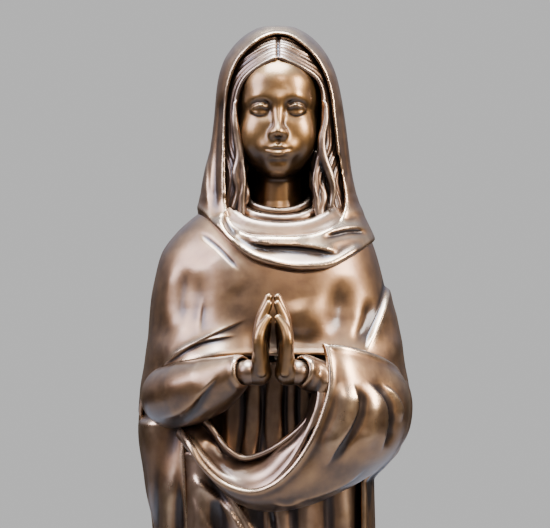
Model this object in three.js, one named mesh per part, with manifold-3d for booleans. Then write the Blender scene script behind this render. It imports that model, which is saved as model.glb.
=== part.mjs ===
// A praying madonna in cast bronze, built up from the hollow castings, armature and fixings it comes apart into.
// Millimetres, +Z up, the figure faces -Y, and the origin is under the middle of the plinth.
import * as THREE from "three";
import { mergeVertices } from "three/addons/utils/BufferGeometryUtils.js";
import Module from "manifold-3d";

const wasm = await Module();
wasm.setup();

// ---- Driving dimensions ----

const figureHeight = 775; // top of the plinth to the crown of the veil
const figureWidth = 218; // elbow to elbow
const figureDepth = 120; // chest to shoulder blades

const plinthWidth = 250;
const plinthDepth = 216;
const plinthHeight = 25;
const plinthTopThickness = 6;
const plinthRim = 8; // width of the rim that the statue stands on

const castingWall = 4;
const sleeveWall = 2.5;
const veilHemThickness = 7; // the rolled cloth of the cowl over the chest
const swagThickness = 5;
const collarThickness = 3;
const seamGap = 0.3; // every joint between castings
const boreClearance = 0.3; // round a rod in its hole

const tieRodDiameter = 10;
const nutAcrossFlats = 17;
const nutHeight = 8;
const washerDiameter = 30;
const washerThickness = 2.5;
const shoulderBarWidth = 22;
const shoulderBarThickness = 6;
const neckBossHeight = 14;

const anchorDiameter = 20;
const anchorLength = 16;
const anchorBore = 8.5;
const anchorCircle = 76; // radius on which the three sockets stand

const wristDiameter = 17;
const cuffWall = 1.4;
const handThickness = 9.5;

// ---- The drawing: the figure's outline, in millimetres above the plinth, for a figure of this size ----

const drawn = { height: 775, width: 218, depth: 120 };
const rise = figureHeight / drawn.height;
const spread = figureWidth / drawn.width;
const girth = figureDepth / drawn.depth;
const headShift = 2; // the head stands a little to the figure's left
const handShift = -3; // the joined palms stand a little to its right

// A smooth curve through [at, value] pairs that never overshoots them.
function curve(points) {
  const slopes = points.slice(1).map(([at, value], i) => (value - points[i][1]) / (at - points[i][0]));
  const tangents = points.map((_, i) => {
    const before = slopes[i - 1] ?? slopes[i];
    const after = slopes[i] ?? slopes[i - 1];
    return before * after <= 0 ? 0 : (2 * before * after) / (before + after);
  });
  return (at) => {
    const last = points.length - 2;
    const found = points.findIndex(([from], i) => i <= last && at <= points[i + 1][0]);
    const i = found < 0 ? last : found;
    const [x0, y0] = points[i];
    const [x1, y1] = points[i + 1];
    const t = THREE.MathUtils.clamp((at - x0) / (x1 - x0), 0, 1);
    const span = x1 - x0;
    return (
      (1 + 2 * t) * (1 - t) ** 2 * y0 +
      t * (1 - t) ** 2 * span * tangents[i] +
      t * t * (3 - 2 * t) * y1 +
      t * t * (t - 1) * span * tangents[i + 1]
    );
  };
}

// A form is a stack of ellipse quarters about a centre: how far it reaches each way at each height.
const robe = {
  centre: [0, 0],
  left: curve([[20, 100], [125, 98], [275, 95], [378, 98], [417, 104], [455, 109], [487, 107], [510, 103],
    [558, 99], [574, 96], [593, 91], [609, 80], [625, 62], [635, 46], [641, 34]]),
  right: curve([[20, 92], [125, 86], [275, 79], [378, 76], [415, 76], [427, 86], [439, 96], [455, 101], [471, 102],
    [487, 100], [510, 97], [534, 91], [574, 81], [593, 77], [609, 71], [625, 62], [635, 46], [641, 34]]),
  front: curve([[20, 90], [125, 76], [275, 65], [378, 60], [455, 62], [487, 66], [513, 66], [535, 63], [558, 60],
    [581, 56], [595, 51], [609, 44], [625, 34], [635, 27], [641, 22]]),
  back: curve([[20, 84], [125, 78], [275, 70], [378, 64], [455, 60], [574, 60], [593, 56], [609, 50], [625, 38],
    [635, 28], [641, 22]]),
};
const gown = {
  centre: [0, 0],
  left: curve([[0, 95], [20, 93], [125, 90], [275, 87], [378, 86], [430, 84], [475, 74], [520, 66]]),
  right: curve([[0, 88], [20, 86], [125, 80], [275, 73], [378, 70], [430, 69], [475, 68], [520, 66]]),
  front: curve([[0, 86], [20, 82], [125, 68], [275, 58], [378, 54], [430, 53], [520, 52]]),
  back: curve([[0, 78], [20, 76], [125, 70], [275, 62], [378, 57], [430, 54], [520, 50]]),
};
const skullWidth = curve([[615, 34], [625, 24], [635, 18], [645, 16.5], [659, 17], [664, 19], [672, 26], [685, 32],
  [700, 33.5], [720, 33], [735, 30], [748, 23], [755, 14], [758, 0.5]]);
const skull = {
  centre: [headShift, 0],
  left: skullWidth,
  right: skullWidth,
  front: curve([[615, 31], [625, 23], [635, 16], [645, 13], [657, 15], [661, 30], [668, 40], [680, 43], [700, 42],
    [720, 40], [735, 35], [748, 26], [755, 15], [758, 0.5]]),
  back: curve([[615, 26], [625, 23], [645, 20], [660, 22], [680, 30], [700, 37], [720, 38], [735, 34], [748, 26],
    [755, 15], [758, 0.5]]),
};
const tressWidth = curve([[612, 46], [645, 45], [670, 44], [700, 42], [730, 38.5], [745, 34], [753, 28], [760, 20],
  [764, 11], [766, 0.5]]);
const tresses = {
  centre: [headShift, 2],
  left: tressWidth,
  right: tressWidth,
  front: curve([[612, 36], [660, 34], [700, 35], [730, 33], [750, 28], [760, 19], [764, 11], [766, 0.5]]),
  back: curve([[612, 36], [660, 40], [700, 43], [730, 40], [750, 31], [760, 21], [764, 11], [766, 0.5]]),
};
const hood = {
  centre: [0, 4],
  left: curve([[612, 64], [645, 60], [660, 57], [676, 53], [700, 50], [723, 48], [735, 46], [747, 42], [755, 37],
    [762, 31], [769, 22], [773, 12], [775, 0.5]]),
  right: curve([[612, 70], [630, 66], [645, 62], [660, 59], [676, 57], [700, 54], [723, 50], [735, 47], [747, 42],
    [755, 37], [762, 31], [769, 22], [773, 12], [775, 0.5]]),
  front: curve([[612, 44], [700, 42], [735, 40], [755, 34], [762, 29], [769, 21], [773, 12], [775, 0.5]]),
  back: curve([[612, 48], [700, 49], [723, 48], [747, 42], [762, 33], [769, 24], [773, 14], [775, 0.5]]),
};

// Hems and edges: height above the plinth at each bearing, in degrees anticlockwise from the figure's left side.
const capeHem = curve([[180, 456], [187, 469], [200, 490], [216, 504], [231, 509], [255, 516], [293, 513],
  [313, 507], [326, 498], [340, 484], [350, 470], [360, 458]]);
const capeNeck = curve([[180, 634], [215, 626], [270, 606], [325, 626], [360, 634]]);
const cowlHem = curve([[180, 628], [205, 615], [232, 601], [262, 584], [285, 579], [308, 584], [335, 599],
  [360, 615]]);
const cowlNeck = curve([[180, 638], [215, 632], [245, 620], [270, 617], [300, 621], [330, 633], [360, 638]]);
const drapeHem = curve([[0, 615], [40, 585], [90, 548], [140, 585], [180, 628]]);
const swagHem = curve([[226, 450], [238, 432], [247, 417], [259, 401], [270, 395], [286, 400], [297, 404], [313, 419],
  [325, 428], [343, 447], [352, 455]]);
const swagRim = curve([[226, 453], [236, 459], [245, 464], [252, 445], [261, 439], [267, 443], [278, 455], [286, 468],
  [290, 482], [294, 511], [313, 505], [326, 496], [340, 482], [352, 468]]);

// Which bearings each length of cloth covers.
const frontHalf = [180, 360];
const backHalf = [0, 180];
const swagSpan = [226, 352];
const rightFallSpan = [180, 232];
const leftFallSpan = [335, 360];
const bodiceSpan = [226, 314];
const cowlSpan = [178, 362];
const drapeSpan = [-2, 182];

const mantleHemLevel = 20;
const gownTopLevel = 430;
const bodiceTopLevel = 508;
const rightFallTop = curve([[180, 454], [188, 452], [196, 446], [232, 446]]);
const leftFallTop = 440;
const backTopLevel = 634;
const collarNeck = curve([[180, 638], [225, 632], [270, 622], [315, 632], [360, 638]]);
const collarFoot = 613;
const neckFoot = 612;
const tressFoot = 614;
const hoodFoot = 616;

// ---- Making and joining solids ----

// A point of the drawing, at the figure's real size.
const place = (x, y, z) => new THREE.Vector3(x * spread, y * girth, plinthHeight + z * rise);

// The point on a form at a bearing and a height of the drawing, moved out along its normal by offset.
function skin(form, bearing, z, offset = 0) {
  const bare = (b, h) => {
    const across = Math.cos(b) * (Math.cos(b) > 0 ? form.right(h) : form.left(h));
    const along = Math.sin(b) * (Math.sin(b) > 0 ? form.back(h) : form.front(h));
    return place(form.centre[0] + across, form.centre[1] + along, h);
  };
  const spot = bare(bearing, z);
  if (offset === 0) return spot;
  const step = 0.5;
  const round = bare(bearing + 0.01, z).sub(bare(bearing - 0.01, z));
  const upward = bare(bearing, z + step).sub(bare(bearing, z - step));
  return spot.addScaledVector(round.cross(upward).normalize(), offset);
}

// Moves each vertex of a geometry to where the function puts it.
function shaped(geometry, move) {
  const position = geometry.getAttribute("position");
  const from = new THREE.Vector3();
  for (let i = 0; i < position.count; i++) {
    from.fromBufferAttribute(position, i);
    position.setXYZ(i, ...move(from).toArray());
  }
  return geometry;
}

// A closed geometry as a manifold solid, turned right way out if its faces point in.
function solid(geometry) {
  const bare = geometry.clone();
  for (const name of Object.keys(bare.attributes)) {
    if (name !== "position") bare.deleteAttribute(name);
  }
  const merged = mergeVertices(bare, 1e-4);
  const corners = merged.getAttribute("position").array;
  const faces = Array.from({ length: merged.index.count / 3 }, (_, i) =>
    Array.from(merged.index.array.slice(3 * i, 3 * i + 3)),
  ).filter(([a, b, c]) => a !== b && b !== c && c !== a);
  const build = (triVerts) =>
    new wasm.Manifold(new wasm.Mesh({ numProp: 3, vertProperties: corners, triVerts: new Uint32Array(triVerts) }));
  const made = build(faces.flat());
  return made.volume() > 0 ? made : build(faces.map(([a, b, c]) => [a, c, b]).flat());
}

const cut = (body, ...tools) => tools.reduce((left, tool) => left.subtract(tool), body);
const join = (body, ...others) => others.reduce((whole, other) => whole.add(other), body);

// A sheet of the form between two bearings and two edges, from one offset out to another. A margin moves its four
// edges out along their own facets.
function sheet(form, [from, to], foot, head, inner, outer, columns, rows, margin = 0) {
  const edge = (limit, bearing) => (typeof limit === "function" ? limit(bearing) : limit);
  const at = (across, up, offset) => {
    const bearing = THREE.MathUtils.lerp(from, to, across + 0.5);
    const height = THREE.MathUtils.lerp(edge(foot, bearing), edge(head, bearing), up + 0.5);
    return skin(form, THREE.MathUtils.degToRad(bearing), height, offset);
  };
  const outermost = (share) => (Math.abs(share) > 0.499 ? Math.sign(share) : 0);
  const box = new THREE.BoxGeometry(1, 1, 1, columns, rows, 1);
  return solid(
    shaped(box, ({ x, y, z }) => {
      const offset = z > 0 ? outer : inner;
      const spot = at(x, y, offset);
      const away = (neighbour) => spot.clone().sub(neighbour).setLength(margin);
      const sideways = away(at(x - outermost(x) / columns, y, offset));
      const lengthways = away(at(x, y - outermost(y) / rows, offset));
      return spot.clone().add(sideways).add(lengthways);
    }),
  );
}

// Half a seam's gap, towards the front or the back, so that the two halves of a shell don't touch.
const forward = (body) => body.translate([0, -seamGap / 2, 0]);
const backward = (body) => body.translate([0, seamGap / 2, 0]);

// The whole inside of a form between two heights, swollen by offset.
function filled(form, foot, head, offset, columns, rows) {
  const profile = [new THREE.Vector2(0, head)];
  for (let i = 0; i <= rows; i++) {
    const share = 1 - Math.cos(((i + 0.35) / (rows + 0.35)) * (Math.PI / 2));
    profile.push(new THREE.Vector2(1, THREE.MathUtils.lerp(head, foot, share)));
  }
  profile.push(new THREE.Vector2(0, foot));
  const lathe = new THREE.LatheGeometry(profile, columns);
  return solid(
    shaped(lathe, ({ x, y, z }) => {
      if (Math.hypot(x, z) > 0.5) return skin(form, Math.atan2(z, x), y, offset);
      const pole = place(form.centre[0], form.centre[1], y);
      return pole.setZ(pole.z + (y === head ? offset : -Math.abs(offset)));
    }),
  );
}

// A prism cut from an outline in the front view, from one depth of the drawing to another.
function frontPrism(outline, near, far) {
  const depth = (far - near) * girth;
  const shape = new THREE.Shape(outline.map(([x, z]) => new THREE.Vector2(x * spread, plinthHeight + z * rise)));
  const block = new THREE.ExtrudeGeometry(shape, { depth, bevelEnabled: false });
  return solid(block.rotateX(Math.PI / 2).translate(0, near * girth + depth, 0));
}

// The same prism for an arch given by [half width, height] pairs from its foot to its crown.
const archPrism = (middle, arch, near, far) =>
  frontPrism([...arch.map(([x, z]) => [middle + x, z]), ...arch.toReversed().map(([x, z]) => [middle - x, z])], near, far);

// A round tube or bar along a path, whose radius changes from end to end.
function taperedBar(path, radiusAt, sides, steps) {
  const bar = new THREE.CylinderGeometry(1, 1, 1, sides, steps);
  const frames = path.computeFrenetFrames(steps, false);
  return solid(
    shaped(bar, ({ x, y, z }) => {
      const t = y + 0.5;
      const step = Math.round(t * steps);
      const radius = radiusAt(t);
      return path
        .getPointAt(t)
        .addScaledVector(frames.normals[step], x * radius)
        .addScaledVector(frames.binormals[step], z * radius);
    }),
  );
}

// A turned piece on a vertical axis: pairs of radius and height round its closed section.
function turned(section, x, y, sides) {
  const points = [...section, section[0]].map(([radius, z]) => new THREE.Vector2(radius, z));
  return solid(new THREE.LatheGeometry(points, sides).rotateX(Math.PI / 2).translate(x, y, 0));
}

const verticalBar = (radius, low, high, x, y, sides) =>
  solid(new THREE.CylinderGeometry(radius, radius, high - low, sides).rotateX(Math.PI / 2)
    .translate(x, y, (low + high) / 2));

// ---- Finishes ----

const finish = (color, roughness, metalness) => new THREE.MeshStandardMaterial({ color, roughness, metalness });
const mantleBronze = finish("#8a6240", 0.38, 0.95);
const gownBronze = finish("#7a5536", 0.42, 0.95);
const skinBronze = finish("#8f6535", 0.32, 0.95);
const hairBronze = finish("#6f5038", 0.5, 0.9);
const plinthBronze = finish("#5e4631", 0.5, 0.9);
const stainlessSteel = finish("#b9bcc0", 0.35, 1);

const statue = new THREE.Group();

// Adds a solid to the statue as a named mesh, without the crumbs that a cut can leave behind.
function add(name, body, material) {
  const crumb = body.volume() / 100;
  const whole = wasm.Manifold.compose(body.decompose().filter((lump) => lump.volume() > crumb));
  const { numProp, numVert, vertProperties, triVerts } = whole.getMesh();
  const corners = new Float32Array(numVert * 3);
  for (let i = 0; i < numVert; i++) corners.set(vertProperties.subarray(i * numProp, i * numProp + 3), i * 3);
  const geometry = new THREE.BufferGeometry()
    .setAttribute("position", new THREE.BufferAttribute(corners, 3))
    .setIndex(new THREE.BufferAttribute(triVerts, 1));
  geometry.computeVertexNormals();
  const mesh = new THREE.Mesh(geometry, material);
  mesh.name = name;
  statue.add(mesh);
}

// A length of the mantle between two edges, or the same swollen on both faces.
const mantle = (span, foot, head, columns, rows, swell = 0) =>
  sheet(robe, span, foot, head, -castingWall - swell, swell, columns, rows, swell);
const capeShell = (swell) => forward(mantle(frontHalf, capeHem, capeNeck, 22, 7, swell));
const backShell = (swell) => backward(mantle(backHalf, mantleHemLevel, backTopLevel, 18, 14, swell));

const headSolid = (swell) => filled(skull, neckFoot, 758, swell, 20, 14);
const headShell = (swell) => cut(headSolid(swell), filled(skull, neckFoot - 6, 758, -castingWall - swell, 20, 14));

// ---- Plinth, fixings and armature ----

const rodRadius = tieRodDiameter / 2;
const rodHole = rodRadius + boreClearance;
const rodSides = 24;
const plinthUnderside = plinthHeight - plinthTopThickness;
const nutBottom = plinthUnderside - seamGap - washerThickness - seamGap - nutHeight;
const rodFoot = nutBottom - 3; // three threads stand out of the nut
const shoulderBarLevel = 566;
const shoulderBarTop = plinthHeight + shoulderBarLevel * rise + shoulderBarThickness;
const neckBossLevel = 632;
const neckBossFoot = plinthHeight + neckBossLevel * rise;
const rodHead = neckBossFoot + neckBossHeight;
const hole = (low, high) => verticalBar(rodHole, low, high, 0, 0, rodSides);

function makePlinth() {
  const round = plinthDepth / 2;
  const foot = 3; // chamfer round the top edge
  const section = [
    [0, plinthUnderside], [round - plinthRim, plinthUnderside], [round - plinthRim, 0], [round, 0],
    [round, plinthHeight - foot], [round - foot, plinthHeight], [0, plinthHeight],
  ].map(([radius, z]) => new THREE.Vector2(radius, z));
  const dish = new THREE.LatheGeometry(section, 48).rotateX(Math.PI / 2).scale(plinthWidth / plinthDepth, 1, 1);
  return cut(solid(dish), hole(-1, plinthHeight + 1));
}

function makeAnchorSocket(index) {
  const bearing = THREE.MathUtils.degToRad(90 + index * 120);
  const top = plinthUnderside - seamGap;
  const low = top - anchorLength;
  const section = [[anchorBore / 2, low], [anchorDiameter / 2, low], [anchorDiameter / 2, top], [anchorBore / 2, top]];
  return turned(section, Math.cos(bearing) * anchorCircle, Math.sin(bearing) * anchorCircle, 20);
}

function makeNut(low) {
  const corner = nutAcrossFlats / Math.sqrt(3);
  return cut(verticalBar(corner, low, low + nutHeight, 0, 0, 6), hole(low - 1, low + nutHeight + 1));
}

const makeWasher = (low) =>
  turned([[rodHole, low], [washerDiameter / 2, low], [washerDiameter / 2, low + washerThickness],
    [rodHole, low + washerThickness]], 0, 0, rodSides);

function makeShoulderBar() {
  const low = shoulderBarTop - shoulderBarThickness;
  const bar = solid(new THREE.BoxGeometry(figureWidth, shoulderBarWidth, shoulderBarThickness)
    .translate(0, 0, low + shoulderBarThickness / 2));
  const inside = filled(robe, 500, 641, -castingWall / 2, 24, 12);
  return cut(bar.intersect(inside), capeShell(seamGap), backShell(seamGap), hole(low - 1, shoulderBarTop + 1));
}

function makeNeckBoss() {
  const levels = [neckBossLevel, neckBossLevel + neckBossHeight / rise];
  const plug = filled(skull, ...levels, -castingWall / 2, 22, 4);
  return cut(plug, headShell(seamGap), hole(neckBossFoot - 5, rodHead + 20));
}

add("plinth", makePlinth(), plinthBronze);
["rear", "right", "left"].forEach((side, index) =>
  add(`anchor_socket_${side}`, makeAnchorSocket(index), stainlessSteel));
add("tie_rod", verticalBar(rodRadius, rodFoot, rodHead, 0, 0, rodSides), stainlessSteel);
add("plinth_washer", makeWasher(plinthUnderside - seamGap - washerThickness), stainlessSteel);
add("plinth_nut", makeNut(nutBottom), stainlessSteel);
add("shoulder_bar", makeShoulderBar(), stainlessSteel);
add("shoulder_washer", makeWasher(shoulderBarTop + seamGap), stainlessSteel);
add("shoulder_nut", makeNut(shoulderBarTop + seamGap + washerThickness + seamGap), stainlessSteel);
add("neck_boss", makeNeckBoss(), stainlessSteel);

// ---- Arms and hands ----

const wristRadius = wristDiameter / 2;
const cuffOuter = wristRadius + seamGap + cuffWall;
const sleeveEnd = cuffOuter + seamGap + sleeveWall;
const elbowRadius = 25;

const elbowEdge = 93; // how far out the elbows reach, in the drawing
const elbowMiddle = elbowEdge - elbowRadius / spread;

// side is -1 for the figure's right arm and 1 for its left.
const armPath = (side) =>
  new THREE.QuadraticBezierCurve3(
    place(side * elbowMiddle, -4, 479),
    place(side * (elbowMiddle - 3), -50, 480),
    place(handShift + side * 28, -78, 496),
  );
const armRadius = curve([[0, elbowRadius], [0.35, 24.5], [0.7, 18.5], [1, sleeveEnd]]);
const armSolid = (side, offset) => taperedBar(armPath(side), (t) => armRadius(t) + offset, 18, 6);

function makeSleeve(side) {
  const bore = taperedBar(armPath(side), (t) => armRadius(t) - sleeveWall, 18, 6);
  const path = armPath(side);
  const reach = (t, by) => path.getPointAt(t).addScaledVector(path.getTangentAt(t), by);
  const mouths = [0, 1].map((t) =>
    taperedBar(new THREE.LineCurve3(reach(t, -2), reach(t, 2)), () => armRadius(t) - sleeveWall, 18, 1));
  return cut(armSolid(side, 0), bore, ...mouths);
}

// A straight round bar through the wrist end of an arm, from so far behind the end to so far ahead of it.
function wristBar(side, radius, behind, ahead) {
  const end = armPath(side).getPointAt(1);
  const along = armPath(side).getTangentAt(1);
  const [from, to] = [-behind, ahead].map((by) => end.clone().addScaledVector(along, by));
  return taperedBar(new THREE.LineCurve3(from, to), () => radius, 18, 1);
}

const cuff = (side, swell) =>
  cut(wristBar(side, cuffOuter + swell, 8 + swell, 2 + swell), wristBar(side, wristRadius + seamGap - swell, 10, 4));

function makeHand(side) {
  const palm = new THREE.Shape([[-70, 490], [-68, 520], [-72, 546], [-77, 560], [-84, 566], [-90, 560], [-93, 544],
    [-96, 524], [-95, 504], [-88, 491]].map(([y, z]) => new THREE.Vector2(y * girth, plinthHeight + z * rise)));
  const bevel = 2;
  const block = new THREE.ExtrudeGeometry(palm, {
    depth: handThickness - 2 * bevel, bevelThickness: bevel, bevelSize: bevel, bevelOffset: -bevel, bevelSegments: 2,
  });
  // The outline's axes become Y and Z, and its thickness runs out from between the palms.
  const upright = new THREE.Matrix4().makeBasis(
    new THREE.Vector3(0, 1, 0), new THREE.Vector3(0, 0, 1), new THREE.Vector3(1, 0, 0));
  block.applyMatrix4(upright).translate(bevel + seamGap / 2, 0, 0).scale(side, 1, 1);
  const flat = solid(block.translate(handShift * spread, 0, 0));
  const stub = wristBar(side, wristRadius, 9, 2);
  const heel = taperedBar(new THREE.LineCurve3(armPath(side).getPointAt(1), place(handShift + side * 7, -82, 497)),
    () => wristRadius, 18, 1);
  const own = solid(new THREE.BoxGeometry(60, 80, 120)
    .translate((handShift * spread) + side * (30 + seamGap / 2), -80 * girth, plinthHeight + 520 * rise));
  return cut(join(flat, heel).intersect(own), cuff(side, seamGap)).add(stub);
}

for (const [side, name] of [[-1, "right"], [1, "left"]]) {
  add(`${name}_sleeve`, makeSleeve(side), mantleBronze);
  add(`${name}_cuff`, cuff(side, 0), gownBronze);
  add(`${name}_hand`, makeHand(side), skinBronze);
}

// ---- Gown ----

const arms = (offset) => [armSolid(-1, offset), armSolid(1, offset)];
const gownFoot = -3; // trimmed off flat, just clear of the plinth
const collar = (swell) => sheet(skull, frontHalf, collarFoot, collarNeck, -1, collarThickness + swell, 14, 3, swell);

const skirt = (span, columns, rows, swell = 0) =>
  sheet(gown, span, gownFoot, gownTopLevel, -castingWall - swell, swell, columns, rows)
    .trimByPlane([0, 0, 1], plinthHeight + seamGap - swell);

function makeShoe(side) {
  const shoe = new THREE.SphereGeometry(1, 16, 10).rotateX(Math.PI / 2).scale(15, 30, 16);
  const ground = plinthHeight + seamGap;
  shoe.rotateZ(side * 0.2).translate(side * 30 * spread, -76 * girth, ground);
  const above = solid(new THREE.BoxGeometry(80, 120, 40).translate(side * 30 * spread, -76 * girth, ground + 20));
  return cut(solid(shoe).intersect(above), skirt(frontHalf, 20, 7, seamGap), filled(gown, -5, 60, -castingWall / 2, 32, 5));
}

add("gown_front", forward(skirt(frontHalf, 20, 7)), gownBronze);
add("gown_back", backward(skirt(backHalf, 16, 6)), gownBronze);
add("gown_bodice",
  forward(cut(sheet(gown, bodiceSpan, gownTopLevel + seamGap, bodiceTopLevel, -castingWall, 0, 10, 5), ...arms(seamGap))),
  gownBronze);
add("gown_collar", forward(cut(collar(0), headSolid(seamGap))), gownBronze);
add("right_shoe", makeShoe(-1), gownBronze);
add("left_shoe", makeShoe(1), gownBronze);

// ---- Mantle ----

const swagOffset = seamGap + 0.4;

add("mantle_cape", cut(capeShell(0), ...arms(seamGap)), mantleBronze);
add("mantle_back", cut(backShell(0), ...arms(seamGap)), mantleBronze);
add("mantle_right_fall", forward(mantle(rightFallSpan, mantleHemLevel, rightFallTop, 7, 9)), mantleBronze);
add("mantle_left_fall", forward(mantle(leftFallSpan, mantleHemLevel, leftFallTop, 4, 9)), mantleBronze);
add("mantle_swag",
  forward(cut(sheet(robe, swagSpan, swagHem, swagRim, swagOffset, swagOffset + swagThickness, 22, 4), ...arms(seamGap))),
  mantleBronze);

// ---- Head, hair and veil ----

const faceArch = [[30, 595], [30, 640], [31, 690], [30, 712], [24, 728], [12, 738], [1, 741]];
const veilArch = [[46, 600], [46, 640], [46, 700], [43, 722], [36, 740], [24, 755], [10, 763], [1, 765]];
const shoulders = (offset) => filled(robe, 440, 641, offset, 32, 14);
const headOpening = 4;

function makeVeil(swell) {
  const shell = cut(filled(hood, hoodFoot, 775, swell, 28, 14),
    filled(hood, hoodFoot - 8, 775, -castingWall - swell, 28, 14));
  const opening = archPrism(1, veilArch.map(([x, z]) => [x - swell, z]), -80, headOpening - swell);
  const cowl = sheet(robe, cowlSpan, cowlHem, cowlNeck, -1, veilHemThickness + swell, 20, 5, swell);
  const drape = sheet(robe, drapeSpan, drapeHem, 637, -1, castingWall + swell, 16, 5, swell);
  return cut(join(cut(shell, opening, shoulders(seamGap)), cowl, drape), capeShell(seamGap), backShell(seamGap));
}

function makeHair() {
  const mass = filled(tresses, tressFoot, 766, 0, 24, 12);
  const face = archPrism(headShift, faceArch, -80, 0);
  return cut(mass, headSolid(seamGap), face, shoulders(seamGap), makeVeil(seamGap), collar(seamGap));
}

add("head", headShell(0), skinBronze);
add("hair", makeHair(), hairBronze);
add("veil", makeVeil(0), mantleBronze);

export default statue;
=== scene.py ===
"""The looks of a cast bronze praying madonna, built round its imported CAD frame.

The figure is drawn in millimetres from the middle of the plinth's top, facing -Y, and cast at the frame's
size. Most castings are sculpted in numpy, because a fold or a face can't be extruded: cloth is a sheet with
folds pressed into it, and the head, hands, hair and veil are clay that shapes are blended onto.
"""

import math

import bmesh
import bpy
import numpy as np
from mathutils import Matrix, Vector


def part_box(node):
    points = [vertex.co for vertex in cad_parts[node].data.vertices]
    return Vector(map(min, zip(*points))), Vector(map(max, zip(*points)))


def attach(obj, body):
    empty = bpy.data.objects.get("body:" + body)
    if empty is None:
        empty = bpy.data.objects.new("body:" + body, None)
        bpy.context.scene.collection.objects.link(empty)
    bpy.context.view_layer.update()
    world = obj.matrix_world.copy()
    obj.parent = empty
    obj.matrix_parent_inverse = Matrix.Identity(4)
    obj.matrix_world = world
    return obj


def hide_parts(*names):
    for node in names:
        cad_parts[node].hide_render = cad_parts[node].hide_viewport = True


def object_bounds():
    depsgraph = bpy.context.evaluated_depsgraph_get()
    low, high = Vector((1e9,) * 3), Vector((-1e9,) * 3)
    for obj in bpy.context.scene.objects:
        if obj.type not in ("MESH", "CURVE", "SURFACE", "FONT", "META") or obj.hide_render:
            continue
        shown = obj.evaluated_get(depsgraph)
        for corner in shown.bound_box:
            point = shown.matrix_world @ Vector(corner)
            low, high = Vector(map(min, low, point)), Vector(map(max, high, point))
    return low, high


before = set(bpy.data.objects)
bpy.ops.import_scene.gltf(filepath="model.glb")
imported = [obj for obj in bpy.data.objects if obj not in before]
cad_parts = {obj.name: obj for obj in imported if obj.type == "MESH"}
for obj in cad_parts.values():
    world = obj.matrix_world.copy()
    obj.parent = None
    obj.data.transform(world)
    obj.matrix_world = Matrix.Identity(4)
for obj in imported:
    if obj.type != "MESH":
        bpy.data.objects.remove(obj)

cad_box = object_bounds()

# ---- Sizes, from the frame ----

plinth_low, plinth_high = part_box("plinth")
figure_floor = plinth_high.z
crown = cad_box[1].z
drawn_height = 775.0
unit = (crown - figure_floor) / drawn_height  # metres in a millimetre of the drawing

casting_wall = 4.0
head_shift = 2.0  # how far the head and the joined hands stand off the middle
hand_shift = -3.0

# How strongly hollows and ridges show: less on skin, whose forms are small and soft.
usual_contrast = 0.85
wear_contrast = {"skin_bronze": 0.45}


def cast(points):
    """Points of the drawing, in the frame."""
    return np.asarray(points, float) * unit + (0.0, 0.0, figure_floor)


# ---- Curves and forms ----

def curve(points):
    """A smooth curve through (at, value) pairs that never overshoots them."""
    at, value = np.array(points, float).T
    slope = np.diff(value) / np.diff(at)
    product = slope[:-1] * slope[1:]
    middle = np.where(product > 0, 2 * product / np.where(product > 0, slope[:-1] + slope[1:], 1), 0)
    tangent = np.concatenate([slope[:1], middle, slope[-1:]])

    def read(x):
        x = np.clip(x, at[0], at[-1])
        i = np.clip(np.searchsorted(at, x, side="right") - 1, 0, len(slope) - 1)
        span = at[i + 1] - at[i]
        t = (x - at[i]) / span
        return (
            (1 + 2 * t) * (1 - t) ** 2 * value[i]
            + t * (1 - t) ** 2 * span * tangent[i]
            + t * t * (3 - 2 * t) * value[i + 1]
            + t * t * (t - 1) * span * tangent[i + 1]
        )

    return read


def smooth_line(points, steps=8):
    """A flowing line through a few points, as a close row of points."""
    points = np.array(points, float)
    row = np.vstack([2 * points[0] - points[1], points, 2 * points[-1] - points[-2]])
    t = np.linspace(0, 1, steps, endpoint=False)[:, None]
    pieces = [
        0.5 * (2 * b + (c - a) * t + (2 * a - 5 * b + 4 * c - d) * t**2 + (3 * b - a - 3 * c + d) * t**3)
        for a, b, c, d in zip(row, row[1:], row[2:], row[3:])
    ]
    return np.vstack(pieces + [points[-1:]])


def ease(t):
    t = np.clip(t, 0, 1)
    return t * t * (3 - 2 * t)


# A form is a stack of ellipse quarters about a centre: how far it reaches each way at each height.
robe = {
    "centre": (0, 0),
    "left": curve([(20, 100), (125, 98), (275, 95), (378, 98), (417, 104), (455, 109), (487, 107), (510, 103),
                   (558, 99), (574, 96), (593, 91), (609, 80), (625, 62), (635, 46), (641, 34)]),
    "right": curve([(20, 92), (125, 86), (275, 79), (378, 76), (415, 76), (427, 86), (439, 96), (455, 101),
                    (471, 104), (487, 103), (510, 98), (534, 92), (574, 83), (593, 78), (609, 72), (625, 62),
                    (635, 46), (641, 34)]),
    "front": curve([(20, 90), (125, 76), (275, 65), (378, 60), (455, 62), (487, 66), (513, 66), (535, 63),
                    (558, 60), (581, 56), (595, 51), (609, 44), (625, 34), (635, 27), (641, 22)]),
    "back": curve([(20, 84), (125, 78), (275, 70), (378, 64), (455, 60), (574, 60), (593, 56), (609, 50),
                   (625, 38), (635, 28), (641, 22)]),
}
gown = {
    "centre": (0, 0),
    "left": curve([(0, 95), (20, 93), (125, 90), (275, 87), (378, 86), (430, 84), (475, 74), (520, 66)]),
    "right": curve([(0, 88), (20, 86), (125, 80), (275, 73), (378, 70), (430, 69), (475, 68), (520, 66)]),
    "front": curve([(0, 86), (20, 82), (125, 68), (275, 58), (378, 54), (430, 53), (520, 52)]),
    "back": curve([(0, 78), (20, 76), (125, 70), (275, 62), (378, 57), (430, 54), (520, 50)]),
}
hood_top = 774.6
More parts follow.
